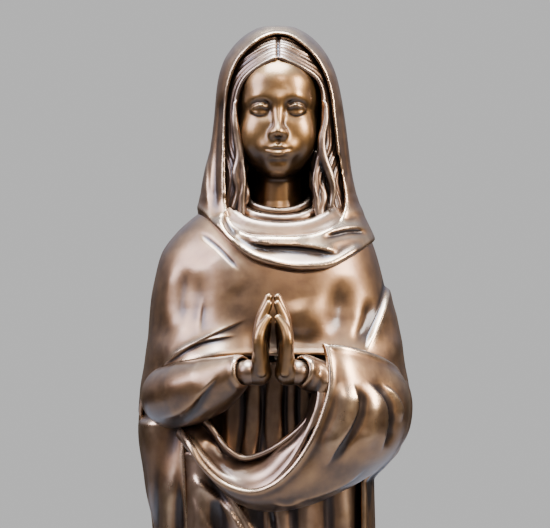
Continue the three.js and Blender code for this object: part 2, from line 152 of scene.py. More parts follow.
hood = {
    "centre": (0, 4),
    "left": curve([(612, 64), (645, 60), (660, 57), (676, 53), (700, 50), (723, 48), (735, 46), (747, 42),
                   (755, 37), (762, 31), (769, 22), (773, 12), (775, 0.5)]),
    "right": curve([(612, 70), (630, 66), (645, 62), (660, 59), (676, 57), (700, 54), (723, 50), (735, 47),
                    (747, 42), (755, 37), (762, 31), (769, 22), (773, 12), (775, 0.5)]),
    "front": curve([(612, 44), (700, 42), (735, 40), (755, 34), (762, 29), (769, 21), (773, 12), (775, 0.5)]),
    "back": curve([(612, 48), (700, 49), (723, 48), (747, 42), (762, 33), (769, 24), (773, 14), (775, 0.5)]),
}


def skin(form, bearing, z):
    """The points of a form at bearings, in degrees from the figure's left, and heights."""
    angle = np.radians(bearing)
    across = np.cos(angle) * np.where(np.cos(angle) > 0, form["right"](z), form["left"](z))
    along = np.sin(angle) * np.where(np.sin(angle) > 0, form["back"](z), form["front"](z))
    return np.stack(np.broadcast_arrays(form["centre"][0] + across, form["centre"][1] + along, z), -1)


def grid_normals(spots):
    """The normals of a grid whose columns run anticlockwise seen from above and whose rows run up."""
    across = np.gradient(spots, axis=1)
    up = np.gradient(spots, axis=0)
    normal = np.cross(across, up)
    return normal / np.maximum(np.linalg.norm(normal, axis=-1, keepdims=True), 1e-9)


# ---- Folds ----

def nearest(line, spots):
    """For each spot its distance from a line, its side of it, and how far along the line it is."""
    run = np.diff(line, axis=0)
    length = np.linalg.norm(run, axis=1)
    done = np.concatenate([[0], np.cumsum(length)])
    best = np.full(len(spots), np.inf)
    side = np.ones(len(spots))
    share = np.zeros(len(spots))
    for start, step, size, before in zip(line, run, length, done):
        if size < 1e-9:
            continue
        offset = spots - start
        t = np.clip(offset @ step / size**2, 0, 1)
        gap = offset - t[:, None] * step
        distance = (gap**2).sum(1)
        closer = distance < best
        best[closer] = distance[closer]
        share[closer] = (before + t[closer] * size) / done[-1]
        side[closer] = np.sign(step[0] * gap[closer, 1] - step[1] * gap[closer, 0])
    return np.sqrt(best), side, share


def round_fold(points, width, height, fade=0.25):
    """A soft hill along a line, or a soft valley where height is negative."""
    return {"line": smooth_line(points), "reach": 2.4 * width, "height": height, "fade": fade,
            "profile": lambda distance, side: np.exp(-((distance / width) ** 2))}


def crease(points, width, height, fade=0.25):
    """A sharp ridge along a line, or a sharp groove where height is negative."""
    return {"line": smooth_line(points), "reach": width, "height": height, "fade": fade,
            "profile": lambda distance, side: np.clip(1 - distance / width, 0, 1) ** 1.7}


def lap(points, width, height, fade=0.2, edge=1.1):
    """Cloth lying over cloth: the line's left stands up at a crisp edge and sinks back over the width."""
    def profile(distance, side):
        signed = distance * side
        return ease(signed / edge + 0.5) * np.exp(-np.clip(signed, 0, None) / width * 1.6)

    return {"line": smooth_line(points), "reach": 2.6 * width, "height": height, "fade": fade,
            "profile": profile}


def relief(spots, folds):
    """How far the folds lift the cloth at each spot of the drawing they are drawn in."""
    flat = spots.reshape(-1, 2)
    lift = np.zeros(len(flat))
    for fold in folds:
        line, reach = fold["line"], fold["reach"]
        near = np.flatnonzero(((flat > line.min(0) - reach) & (flat < line.max(0) + reach)).all(1))
        if not len(near):
            continue
        distance, side, share = nearest(line, flat[near])
        fade = fold["fade"]
        ends = ease(share / fade) * ease((1 - share) / fade) if fade > 0 else 1
        lift[near] += fold["height"] * ends * fold["profile"](distance, side)
    return lift.reshape(spots.shape[:-1])


# ---- Meshes ----

def make_piece(name, points, quads, material, slot, replaces=()):
    """A mesh from points of the drawing and four-sided faces, finished, worn and riding on the frame."""
    mesh = bpy.data.meshes.new(name)
    mesh.vertices.add(len(points))
    mesh.vertices.foreach_set("co", cast(points).astype(np.float32).ravel())
    mesh.loops.add(4 * len(quads))
    mesh.loops.foreach_set("vertex_index", quads.astype(np.int32).ravel())
    mesh.polygons.add(len(quads))
    mesh.polygons.foreach_set("loop_start", np.arange(0, 4 * len(quads), 4, dtype=np.int32))
    mesh.update(calc_edges=True)
    mesh.validate()
    piece = bpy.data.objects.new(name, mesh)
    bpy.context.scene.collection.objects.link(piece)
    return finish_piece(piece, material, slot, replaces)


def finish_piece(piece, material, slot, replaces=()):
    mesh = piece.data
    mesh.polygons.foreach_set("use_smooth", np.ones(len(mesh.polygons), bool))
    record_wear(mesh, wear_contrast.get(slot, usual_contrast))
    mesh.materials.clear()
    mesh.materials.append(material)
    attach(piece, "root")
    if replaces:
        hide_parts(*replaces)
    return piece


def record_wear(mesh, contrast):
    """Stores how proud the surface is at each vertex: 0 in a hollow, 0.5 where plain, 0.86 on a ridge."""
    count = len(mesh.vertices)
    spots = np.empty(count * 3, np.float32)
    mesh.vertices.foreach_get("co", spots)
    spots = spots.reshape(-1, 3).astype(float) / unit
    edges = np.empty(len(mesh.edges) * 2, np.int32)
    mesh.edges.foreach_get("vertices", edges)
    edges = edges.reshape(-1, 2)
    normals = np.empty(count * 3, np.float32)
    mesh.vertex_normals.foreach_get("vector", normals)
    normals = normals.reshape(-1, 3)
    one_end, other_end = np.concatenate([edges, edges[:, ::-1]]).T
    neighbours = np.maximum(np.bincount(one_end, minlength=count), 1)

    def average(values):
        columns = [np.bincount(one_end, column[other_end], count) / neighbours for column in values.T]
        return np.stack(columns, 1)

    proud = np.zeros(count)
    blurred = spots
    for rounds, weight in ((4, 2.2), (12, 1.3), (36, 0.5)):
        for _ in range(rounds):
            blurred = average(blurred)
        proud += weight * ((spots - blurred) * normals).sum(1)
    proud = average(average(proud[:, None]))[:, 0]
    height = np.tanh(contrast * proud)
    wear = mesh.attributes.new("wear", "FLOAT", "POINT")
    wear.data.foreach_set("value", (0.5 + np.where(height > 0, 0.36, 0.5) * height).astype(np.float32))


def spaced(count, length, edge):
    """Shares from 0 to 1 along a length, closer together within edge of both ends."""
    near = edge / length * np.array([0, 0.04, 0.15, 0.35, 0.65, 1.0])
    return np.concatenate([near, np.linspace(near[-1], 1 - near[-1], count)[1:-1], 1 - near[::-1]])


def cloth(name, place, size, spacing, material, slot, replaces=(), folds=(), view=None, wall=casting_wall,
          edge=2.2, hem=0.0, shape=None):
    """A casting like a sheet: place(u, v) gives its outer face, and folds are pressed into it.

    size is about how wide and how high it is, and hem how much its edges are thickened. view turns a point
    into its place in the drawing of the folds, which is the front view unless said otherwise.
    """
    u, v = np.meshgrid(*(spaced(int(length / spacing), length, edge) for length in size))
    spots = place(u, v)
    normal = grid_normals(spots)
    drawn = spots[..., [0, 2]] if view is None else view(spots)
    lift = relief(drawn, folds)
    if shape is not None:
        lift = lift + shape(spots)
    inset = edge_distance(spots)
    if hem:
        lift = lift + hem * np.exp(-(((inset - 1.3 * edge) / (1.1 * edge)) ** 2))
    half = wall / 2 * np.sqrt(1 - (1 - np.clip(inset / edge, 0, 1)) ** 2)
    middle = spots + normal * (lift - wall / 2)[..., None]
    outer = middle + normal * half[..., None]
    inner = middle - normal * half[..., None]
    points, quads = join_faces(outer, inner)
    return make_piece(name, points, quads, material, slot, replaces)


def edge_distance(spots):
    """How far each point of a grid is from the grid's nearest edge, along its rows and columns."""
    distances = []
    for axis in (0, 1):
        step = np.linalg.norm(np.diff(spots, axis=axis), axis=-1)
        start = np.zeros_like(np.take(step, [0], axis))
        travelled = np.concatenate([start, np.cumsum(step, axis)], axis)
        distances += [travelled, np.take(travelled, [-1], axis) - travelled]
    return np.minimum.reduce(distances)


def join_faces(outer, inner):
    """The points and quads of a closed body from two grids of the same size that meet round their edges."""
    rows, columns = outer.shape[:2]
    front = np.arange(rows * columns).reshape(rows, columns)
    back = np.full((rows, columns), -1)
    back[1:-1, 1:-1] = rows * columns + np.arange((rows - 2) * (columns - 2)).reshape(rows - 2, columns - 2)
    border = back < 0
    back[border] = front[border]
    points = np.concatenate([outer.reshape(-1, 3), inner[1:-1, 1:-1].reshape(-1, 3)])
    return points, np.concatenate([grid_quads(front), grid_quads(back)[:, ::-1]])


def grid_quads(index):
    return np.stack([index[:-1, :-1], index[:-1, 1:], index[1:, 1:], index[1:, :-1]], -1).reshape(-1, 4)


# ---- Clay ----

class Clay:
    """A block of space that holds the distance to a surface at each point, onto which shapes are blended."""

    def __init__(self, low, high, cell):
        self.low = np.array(low, float)
        self.cell = cell
        counts = np.ceil((np.array(high, float) - self.low) / cell).astype(int) + 1
        self.axes = [self.low[i] + cell * np.arange(counts[i]) for i in range(3)]
        self.field = np.full(counts, 50.0, np.float32)

    def window(self, low, high):
        """The part of the block between two corners: its slices and the coordinates of its points."""
        slices = tuple(
            slice(*np.searchsorted(axis, (bottom, top))) for axis, bottom, top in zip(self.axes, low, high)
        )
        x, y, z = (axis[part].astype(np.float32) for axis, part in zip(self.axes, slices))
        return slices, x[:, None, None], y[None, :, None], z[None, None, :]

    def everywhere(self):
        return self.window((-1e9,) * 3, (1e9,) * 3)[1:]

    def combine(self, distance, low, high, blend, sign):
        """Blends a shape on where sign is 1, or carves it away where sign is -1."""
        slices, x, y, z = self.window(np.array(low) - 2 * blend - 1, np.array(high) + 2 * blend + 1)
        if any(part.stop <= part.start for part in slices):
            return
        self.field[slices] = sign * soft_least(sign * self.field[slices], distance(x, y, z), blend)

    def ball(self, centre, radius, blend=1.0, carve=False):
        self.egg(centre, (radius,) * 3, blend, carve)

    def egg(self, centre, radii, blend=1.0, carve=False):
        """An ellipsoid, blended on or carved away."""
        centre, radii = np.array(centre, float), np.array(radii, float)

        def distance(x, y, z):
            p = [(a - c) for a, c in zip((x, y, z), centre)]
            near = np.sqrt(sum((a / r) ** 2 for a, r in zip(p, radii))) + 1e-6
            slope = np.sqrt(sum((a / r**2) ** 2 for a, r in zip(p, radii))) + 1e-6
            return near * (near - 1) / slope

        self.combine(distance, centre - radii, centre + radii, blend, -1 if carve else 1)

    def rod(self, points, radii, blend=1.0, carve=False, steps=5):
        """A flowing rod through points, its radius changing from point to point."""
        line = smooth_line(points, steps)
        shares = np.linspace(0, 1, len(line))
        radii = np.atleast_1d(radii)
        thick = np.interp(shares, np.linspace(0, 1, len(radii)), radii)

        def distance(x, y, z):
            best = None
            for start, end, r0, r1 in zip(line, line[1:], thick, thick[1:]):
                step = end - start
                offset = [a - s for a, s in zip((x, y, z), start)]
                t = np.clip(sum(o * s for o, s in zip(offset, step)) / max(step @ step, 1e-9), 0, 1)
                gap = np.sqrt(sum((o - t * s) ** 2 for o, s in zip(offset, step))) - (r0 + t * (r1 - r0))
                best = gap if best is None else np.minimum(best, gap)
            return best

        reach = thick.max()
        self.combine(distance, line.min(0) - reach, line.max(0) + reach, blend, -1 if carve else 1)

    def form(self, form, top=1e9):
        """The distance to a form all over the block, closed at its top."""
        x, y, z = self.everywhere()
        across, along = x - form["centre"][0], y - form["centre"][1]
        wide = np.where(across > 0, form["right"](z), form["left"](z))
        deep = np.where(along > 0, form["back"](z), form["front"](z))
        reach = np.sqrt((across / wide) ** 2 + (along / deep) ** 2)
        slope = np.sqrt(sum(part**2 for part in np.gradient(reach, self.cell)))
        slope = np.maximum(slope, 1 / np.maximum(wide, deep))
        return np.clip(np.maximum((reach - 1) / slope, z - top), -50, 50).astype(np.float32)

    def front_spots(self):
        x, y, z = self.everywhere()
        return np.stack(np.meshgrid(x.ravel(), z.ravel(), indexing="ij"), -1)

    def front_relief(self, folds, start=0.0, full=-12.0):
        """What folds drawn in the front view lift: nothing where y is start, and all where it is full."""
        x, y, z = self.everywhere()
        lift = relief(self.front_spots(), folds)[:, None, :]
        return (lift * ease((start - y) / (start - full))).astype(np.float32)

    def beside(self, line):
        """How far each point is from a line drawn in the front view: over 0 on the line's left."""
        spots = self.front_spots()
        distance, side, _ = nearest(line, spots.reshape(-1, 2))
        return (distance * side).reshape(spots.shape[:2])[:, None, :].astype(np.float32)

    def soften(self, rounds):
        """Rounds off what is thinner than a cell or two."""
        for _ in range(rounds):
            for axis in range(3):
                first, last = (np.take(self.field, [end], axis) for end in (0, -1))
                padded = np.concatenate([first, self.field, last], axis)
                count = self.field.shape[axis]
                before, after = (np.take(padded, range(start, start + count), axis) for start in (0, 2))
                self.field = (0.5 * self.field + 0.25 * (before + after)).astype(np.float32)

    def surface(self):
        """The points and quads of the surface."""
        return net_surface(self.field, self.low, self.cell)


def soft_least(a, b, blend):
    mix = np.clip(0.5 + 0.5 * (b - a) / blend, 0, 1)
    return b + (a - b) * mix - blend * mix * (1 - mix)


def soft_most(a, b, blend):
    return -soft_least(-a, -b, blend)


def net_surface(field, low, cell):
    """A surface of quads where a field changes sign, with one point in each cell that it passes through."""
    corners = np.array([(i, j, k) for i in (0, 1) for j in (0, 1) for k in (0, 1)])
    inside = field < 0
    shape = np.array(field.shape) - 1
    full = np.zeros(shape, np.int8)
    for i, j, k in corners:
        full += inside[i:i + shape[0], j:j + shape[1], k:k + shape[2]]
    cells = np.argwhere((full > 0) & (full < 8))
    number = np.full(shape, -1, np.int32)
    number[tuple(cells.T)] = np.arange(len(cells))
    total = np.zeros((len(cells), 3))
    crossings = np.zeros(len(cells))
    for a in corners:
        for axis in np.flatnonzero(a == 0):
            b = a.copy()
            b[axis] = 1
            at_a = field[tuple((cells + a).T)]
            at_b = field[tuple((cells + b).T)]
            crossed = (at_a < 0) != (at_b < 0)
            share = np.where(crossed, at_a / np.where(crossed, at_a - at_b, 1), 0)
            spot = a + share[:, None] * (b - a)
            total += spot * crossed[:, None]
            crossings += crossed
    points = (cells + total / crossings[:, None]) * cell + low
    quads = []
    for axis in range(3):
        one, two = (axis + 1) % 3, (axis + 2) % 3
        ahead = np.take(inside, range(1, field.shape[axis]), axis)
        behind = np.take(inside, range(field.shape[axis] - 1), axis)
        edge = np.argwhere(ahead != behind)
        for other in (one, two):
            edge = edge[(edge[:, other] > 0) & (edge[:, other] < shape[other])]
        ring = []
        for back_one, back_two in ((1, 1), (0, 1), (0, 0), (1, 0)):
            corner = edge.copy()
            corner[:, one] -= back_one
            corner[:, two] -= back_two
            ring.append(number[tuple(corner.T)])
        ring = np.stack(ring, 1)
        leaving = behind[tuple(edge.T)]
        quads.append(np.where(leaving[:, None], ring, ring[:, ::-1]))
    return points, np.concatenate(quads)


# ---- Lofts ----

def loft(ribs):
    """place(u, v) for a surface that flows through ribs: u runs from rib to rib and v along each rib."""
    dense = np.array([smooth_line(rib, 10) for rib in ribs])
    dense = np.stack([smooth_line(dense[:, k], 10) for k in range(dense.shape[1])], 1)
    steps = np.linalg.norm(np.diff(dense, axis=0), axis=-1).mean(1)
    along = np.concatenate([[0], np.cumsum(steps)]) / steps.sum()
    steps = np.linalg.norm(np.diff(dense, axis=1), axis=-1).mean(0)
    across = np.concatenate([[0], np.cumsum(steps)]) / steps.sum()

    def place(u, v):
        i = np.interp(u, along, np.arange(len(along)))
        j = np.interp(v, across, np.arange(len(across)))
        i0 = np.minimum(i.astype(int), len(along) - 2)
        j0 = np.minimum(j.astype(int), len(across) - 2)
        s, t = (i - i0)[..., None], (j - j0)[..., None]
        near = dense[i0, j0] * (1 - t) + dense[i0, j0 + 1] * t
        far = dense[i0 + 1, j0] * (1 - t) + dense[i0 + 1, j0 + 1] * t
        return near * (1 - s) + far * s

    return place


def round_body(form, span, foot, head):
    """place(u, v) for a form between two bearings and two edges, each a height or a curve."""
    def place(u, v):
        bearing = span[0] + (span[1] - span[0]) * u
        low = foot(bearing) if callable(foot) else foot
        high = head(bearing) if callable(head) else head
        return skin(form, bearing, low + (high - low) * v)

    return place


# ---- Finishes ----

unrubbed_wear = 0.45


def set_stops(ramp, stops):
    """Gives a colour ramp its stops: pairs of a position and a colour."""
    elements = ramp.color_ramp.elements
    for index, (position, colour) in enumerate(stops):
        stop = elements[index] if index < 2 else elements.new(position)
        stop.position = position
        stop.color = (*colour, 1)


def bronze(name, deep, body, ridge, roughness, grain, pits, rubbed=True):
    """Waxed and patinated bronze: dark where the surface is hollow, and bright where it is rubbed.

    A piece that isn't rubbed has no wear stored at its vertices, so it gets the same wear all over.
    """
    material = bpy.data.materials.new(name)
    material.use_nodes = True
    nodes, links = material.node_tree.nodes, material.node_tree.links
    nodes.clear()
    output = nodes.new("ShaderNodeOutputMaterial")
    shader = nodes.new("ShaderNodeBsdfPrincipled")
    links.new(shader.outputs["BSDF"], output.inputs["Surface"])

    def noise(scale, detail, rough=0.55, squash=(1, 1, 1)):
        place = nodes.new("ShaderNodeMapping")
        place.inputs["Scale"].default_value = squash
        links.new(coordinates.outputs["Object"], place.inputs["Vector"])
        node = nodes.new("ShaderNodeTexNoise")
        node.inputs["Scale"].default_value = scale
        node.inputs["Detail"].default_value = detail
        node.inputs["Roughness"].default_value = rough
        links.new(place.outputs["Vector"], node.inputs["Vector"])
        return node.outputs["Fac"]

    def fit(value, low, high, to_low, to_high):
        node = nodes.new("ShaderNodeMapRange")
        for socket, number in zip(("From Min", "From Max", "To Min", "To Max"), (low, high, to_low, to_high)):
            node.inputs[socket].default_value = number
        links.new(value, node.inputs["Value"])
        return node.outputs["Result"]

    def add(a, b, operation="ADD"):
        node = nodes.new("ShaderNodeMath")
        node.operation = operation
        for socket, value in zip(node.inputs, (a, b)):
            if isinstance(value, (int, float)):
                socket.default_value = value
            else:
                links.new(value, socket)
        return node.outputs["Value"]

    coordinates = nodes.new("ShaderNodeTexCoord")
    wear = nodes.new("ShaderNodeAttribute")
    wear.attribute_name = "wear"
    clouds = noise(22, 4)
    mottle = noise(110, 3, 0.5)
    # Patina stays in the hollows, where nothing rubs it. The undersides are darkened as painted shade, and
    # the upward faces are lightened as a painted highlight from above.
    facing = nodes.new("ShaderNodeNewGeometry")
    facing_axes = nodes.new("ShaderNodeSeparateXYZ")
    links.new(facing.outputs["Normal"], facing_axes.inputs["Vector"])
    # Painted shade: faces that look downward are darkened.
    painted_underside_shade = fit(facing_axes.outputs["Z"], -0.8, 0.1, -0.40, -0.04)
    wear_and_painted_light = add(wear.outputs["Fac"] if rubbed else unrubbed_wear, painted_underside_shade)
    # Painted highlight: faces that look upward are lightened, as if lit from above.
    wear_and_painted_light = add(wear_and_painted_light, fit(facing_axes.outputs["Z"], 0.1, 0.9, 0, 0.10))
    wear_and_painted_light = add(wear_and_painted_light, fit(clouds, 0.3, 0.7, -0.06, 0.06))
    wear_and_painted_light = add(wear_and_painted_light, fit(mottle, 0.3, 0.7, -0.04, 0.04))

    shadow = [0.75 * dark + 0.25 * plain for dark, plain in zip(deep, body)]
    ramp = nodes.new("ShaderNodeValToRGB")
    ramp.color_ramp.interpolation = "B_SPLINE"
    # The ramp is fed by real wear and patina together with the painted shade and highlight above.
    set_stops(ramp, ((0.0, deep), (0.30, shadow), (0.5, body), (0.66, body), (0.9, ridge)))
    links.new(wear_and_painted_light, ramp.inputs["Fac"])

    tint = nodes.new("ShaderNodeMix")
    tint.data_type = "RGBA"
    tint.blend_type = "MULTIPLY"
    tint.inputs["Factor"].default_value = 1
    shade = nodes.new("ShaderNodeValToRGB")
    set_stops(shade, ((0.3, (0.80, 0.76, 0.80)), (0.7, (1.12, 1.08, 0.98))))
    links.new(noise(45, 5, 0.6), shade.inputs["Fac"])
    links.new(ramp.outputs["Color"], tint.inputs["A"])
    links.new(shade.outputs["Color"], tint.inputs["B"])
    links.new(tint.outputs["Result"], shader.inputs["Base Color"])

    shader.inputs["Metallic"].default_value = 1.0
    polish = fit(wear_and_painted_light, 0.25, 0.85, roughness + 0.16, roughness - 0.06)
    links.new(add(polish, fit(mottle, 0.3, 0.7, -0.04, 0.05)), shader.inputs["Roughness"])
    shader.inputs["Coat Weight"].default_value = 0.6
    shader.inputs["Coat Roughness"].default_value = 0.22
    shader.inputs["Coat IOR"].default_value = 1.45

    cells = nodes.new("ShaderNodeTexVoronoi")
    cells.inputs["Scale"].default_value = 120
    links.new(coordinates.outputs["Object"], cells.inputs["Vector"])
    pit = fit(cells.outputs["Distance"], 0.035, 0.09, -pits, 0)
    chased = noise(300, 3, 0.6, (1, 1, 0.16))
    height = add(add(fit(noise(700, 3, 0.6), 0, 1, 0, grain), fit(chased, 0.35, 0.7, 0, 0.3 * grain)), pit)
    height = add(height, fit(noise(95, 3, 0.5), 0, 1, 0, 1.5 * grain))
    bump = nodes.new("ShaderNodeBump")
    bump.inputs["Strength"].default_value = 0.55
    bump.inputs["Distance"].default_value = 0.001
    links.new(height, bump.inputs["Height"])
    links.new(bump.outputs["Normal"], shader.inputs["Normal"])
    links.new(bump.outputs["Normal"], shader.inputs["Coat Normal"])
    return material


def steel(name):
    """Plain stainless steel with a fine turned grain."""
    material = bpy.data.materials.new(name)
    material.use_nodes = True
    nodes, links = material.node_tree.nodes, material.node_tree.links
    shader = nodes["Principled BSDF"]
    shader.inputs["Metallic"].default_value = 1.0
    shader.inputs["Roughness"].default_value = 0.34
    coordinates = nodes.new("ShaderNodeTexCoord")
    place = nodes.new("ShaderNodeMapping")
    place.inputs["Scale"].default_value = (1, 1, 12)
    links.new(coordinates.outputs["Object"], place.inputs["Vector"])
    turned = nodes.new("ShaderNodeTexNoise")
    turned.inputs["Scale"].default_value = 120
    links.new(place.outputs["Vector"], turned.inputs["Vector"])
    ramp = nodes.new("ShaderNodeValToRGB")
    set_stops(ramp, ((0.0, (0.42, 0.43, 0.44)), (1.0, (0.66, 0.67, 0.68))))
    links.new(turned.outputs["Fac"], ramp.inputs["Fac"])
    links.new(ramp.outputs["Color"], shader.inputs["Base Color"])
    bump = nodes.new("ShaderNodeBump")
    bump.inputs["Strength"].default_value = 0.2
    bump.inputs["Distance"].default_value = 0.0002
    links.new(turned.outputs["Fac"], bump.inputs["Height"])
    links.new(bump.outputs["Normal"], shader.inputs["Normal"])
    return material


mantle_bronze = bronze(
    "mantle_bronze", deep=(0.018, 0.012, 0.009), body=(0.200, 0.108, 0.048), ridge=(0.52, 0.36, 0.21),
    roughness=0.31, grain=0.07, pits=0.05,
)
gown_bronze = bronze(
    "gown_bronze", deep=(0.024, 0.018, 0.016), body=(0.178, 0.102, 0.054), ridge=(0.40, 0.27, 0.17),
    roughness=0.35, grain=0.09, pits=0.06,
)
skin_bronze = bronze(
    "skin_bronze", deep=(0.018, 0.010, 0.005), body=(0.215, 0.112, 0.038), ridge=(0.44, 0.28, 0.12),
    roughness=0.30, grain=0.04, pits=0.06,
)
hair_bronze = bronze(
    "hair_bronze", deep=(0.010, 0.007, 0.006), body=(0.120, 0.068, 0.038), ridge=(0.42, 0.30, 0.20),
    roughness=0.35, grain=0.08, pits=0.12,
)
plinth_bronze = bronze(
    "plinth_bronze", deep=(0.010, 0.008, 0.007), body=(0.10, 0.06, 0.036), ridge=(0.34, 0.23, 0.14),
    roughness=0.42, grain=0.35, pits=0.6,
)
fitting_bronze = bronze(
    "fitting_bronze", deep=(0.010, 0.008, 0.007), body=(0.12, 0.07, 0.036), ridge=(0.34, 0.23, 0.14),
    roughness=0.40, grain=0.12, pits=0.1, rubbed=False,
)
stainless = steel("stainless_steel")


# ---- Mantle ----

cape_hem = curve([
    (180, 466), (187, 474), (200, 489), (216, 503), (231, 509), (255, 515), (285, 516), (306, 513),
    (320, 508), (332, 500), (345, 488), (355, 474), (360, 462),
])
cape_neck = curve([(180, 636), (215, 630), (270, 612), (325, 630), (360, 636)])


def make_cape():
    folds = [
        crease([(-61, 611), (-47, 600), (-37, 590), (-28, 580)], 3.4, -1.5),
        round_fold([(-52, 596), (-40, 578), (-28, 562)], 11, 0.8),
        round_fold([(-61, 584), (-63, 560), (-60, 532)], 10, -2.0, 0.4),
        lap([(-57, 528), (-59, 544), (-57, 562)], 10, 0.8, 0.4, 2.6),
        lap([(-90, 503), (-72, 515), (-54, 525), (-30, 531)], 11, 2.8, 0.3, 1.8),
        lap([(-82, 512), (-64, 521), (-44, 533), (-22, 544)], 11, 2.2, 0.35, 1.8),
        round_fold([(-94, 512), (-77, 528), (-62, 546)], 9, 1.6, 0.35),
        round_fold([(-78, 508), (-55, 515), (-28, 521)], 6, 1.8, 0.35),
        round_fold([(52, 580), (50, 548), (45, 518)], 12, -5.0, 0.45),
        lap([(87, 578), (80, 550), (65, 516)], 30, 4.6, 0.28, 2.4),
        round_fold([(74, 562), (70, 542), (60, 520)], 5, -2.4, 0.35),
        round_fold([(93, 562), (92, 532), (86, 506)], 8, 2.4, 0.35),
        round_fold([(-84, 584), (-91, 545), (-89, 510)], 11, -1.2, 0.4),
        round_fold([(-28, 525), (14, 529), (48, 522)], 12, -3.6, 0.35),
        round_fold([(-78, 590), (-86, 560), (-84, 530)], 6, 1.4, 0.35),
        round_fold([(-70, 588), (-74, 560), (-73, 534)], 5, -1.4, 0.35),
        round_fold([(14, 560), (18, 540), (16, 526)], 14, 1.6, 0.35),
        lap([(44, 514), (62, 508), (80, 501), (94, 492)], 7, 2.4, 0.3, 1.8),
    ]

    def over_arms(spots):
        x, z = spots[..., 0], spots[..., 2]
        right = 10 * np.exp(-(((x + 58) / 30) ** 2) - ((np.maximum(z - 508, 0)) / 20) ** 2)
        left = 8 * np.exp(-(((x - 66) / 26) ** 2) - ((np.maximum(z - 506, 0)) / 16) ** 2)
        return right + left

    cloth("cape_casting", round_body(robe, (180, 360), cape_hem, cape_neck), (330, 170), 1.15, mantle_bronze,
          "mantle_bronze", ["mantle_cape"], folds, hem=0.5, shape=over_arms)


def unrolled(spots):
    """Where a point is on the cloth's back laid flat: millimetres from the middle of the back, and height."""
    bearing = np.degrees(np.arctan2(spots[..., 1], spots[..., 0])) - 90
    return np.stack([-bearing * 1.7, spots[..., 2]], -1)


def make_back():
    # Long folds fall from the shoulders: where each is, its sway, its width and its height.
    falling = (
        (-118, 6, 8, 5), (-88, -4, 9, -4), (-62, 8, 9, 6), (-34, -5, 10, -5), (-8, 5, 10, 6),
        (20, -6, 9, -5), (46, 6, 9, 6), (74, -5, 10, -5), (104, 5, 9, 5), (132, 0, 8, -4),
    )
    folds = []
    for at, sway, width, height in falling:
        line = [(at * 0.8, 560), (at + sway, 400), (at * 1.04 - sway, 220), (at * 1.1, 10)]
        folds.append(round_fold(line, width, height, 0.35))
        beside = [(at * 1.1 + 6, 10), (at * 1.03 + sway + 4, 200), (at * 0.95 + 3, 330)]
        folds.append(lap(beside, 9, 0.5 * abs(height), 0.4))
    # Swags hang across between the shoulder blades.
    for depth, level in ((4.5, 560), (4, 520), (3.5, 476)):
        line = [(-100, level + 26), (-50, level + 2), (0, level - 10), (52, level + 4), (100, level + 30)]
        folds.append(lap(line, 9, -depth, 0.35))
    place = round_body(robe, (0, 180), 20, 636)
    cloth("back_casting", place, (320, 616), 2.15, mantle_bronze, "mantle_bronze", ["mantle_back"], folds,
          unrolled, hem=0.8)


def make_falls():
    def tucked_in(spots):
        x, z = spots[..., 0], spots[..., 2]
        return -4.5 * ease((z - 460) / 8) - 11 * ease((z - 404) / 60) * ease((x + 103) / 20)

    def under_the_hem(bearing):
        return np.minimum(cape_hem(bearing) + 7, 482)

    right_folds = [
        round_fold([(-83, 460), (-86, 300), (-86, 160), (-88, 20)], 6, 3.0, 0.2),
        round_fold([(-95, 450), (-97, 300), (-95, 150), (-96, 20)], 4, -2.6, 0.2),
        round_fold([(-75, 452), (-77, 330), (-76, 180), (-78, 20)], 4, -2.6, 0.15),
        round_fold([(-102, 440), (-104, 280), (-102, 120), (-102, 20)], 5, 2.0, 0.2),
    ]
    place = round_body(robe, (180, 226), 20, under_the_hem)
    cloth("right_fall_casting", place, (60, 450), 1.3, mantle_bronze, "mantle_bronze", ["mantle_right_fall"],
          right_folds, hem=0.7, shape=tucked_in)
    def under_the_arm(bearing):
        return np.minimum(cape_hem(bearing) - 2, 440 + 60 * ease((bearing - 338) / 16))

    left_folds = [round_fold([(74, 430), (75, 250), (80, 20)], 4, 1.8, 0.2)]
    cloth("left_fall_casting", round_body(robe, (333, 360), 20, under_the_arm), (34, 430), 1.3, mantle_bronze,
          "mantle_bronze", ["mantle_left_fall"], left_folds, hem=0.7)


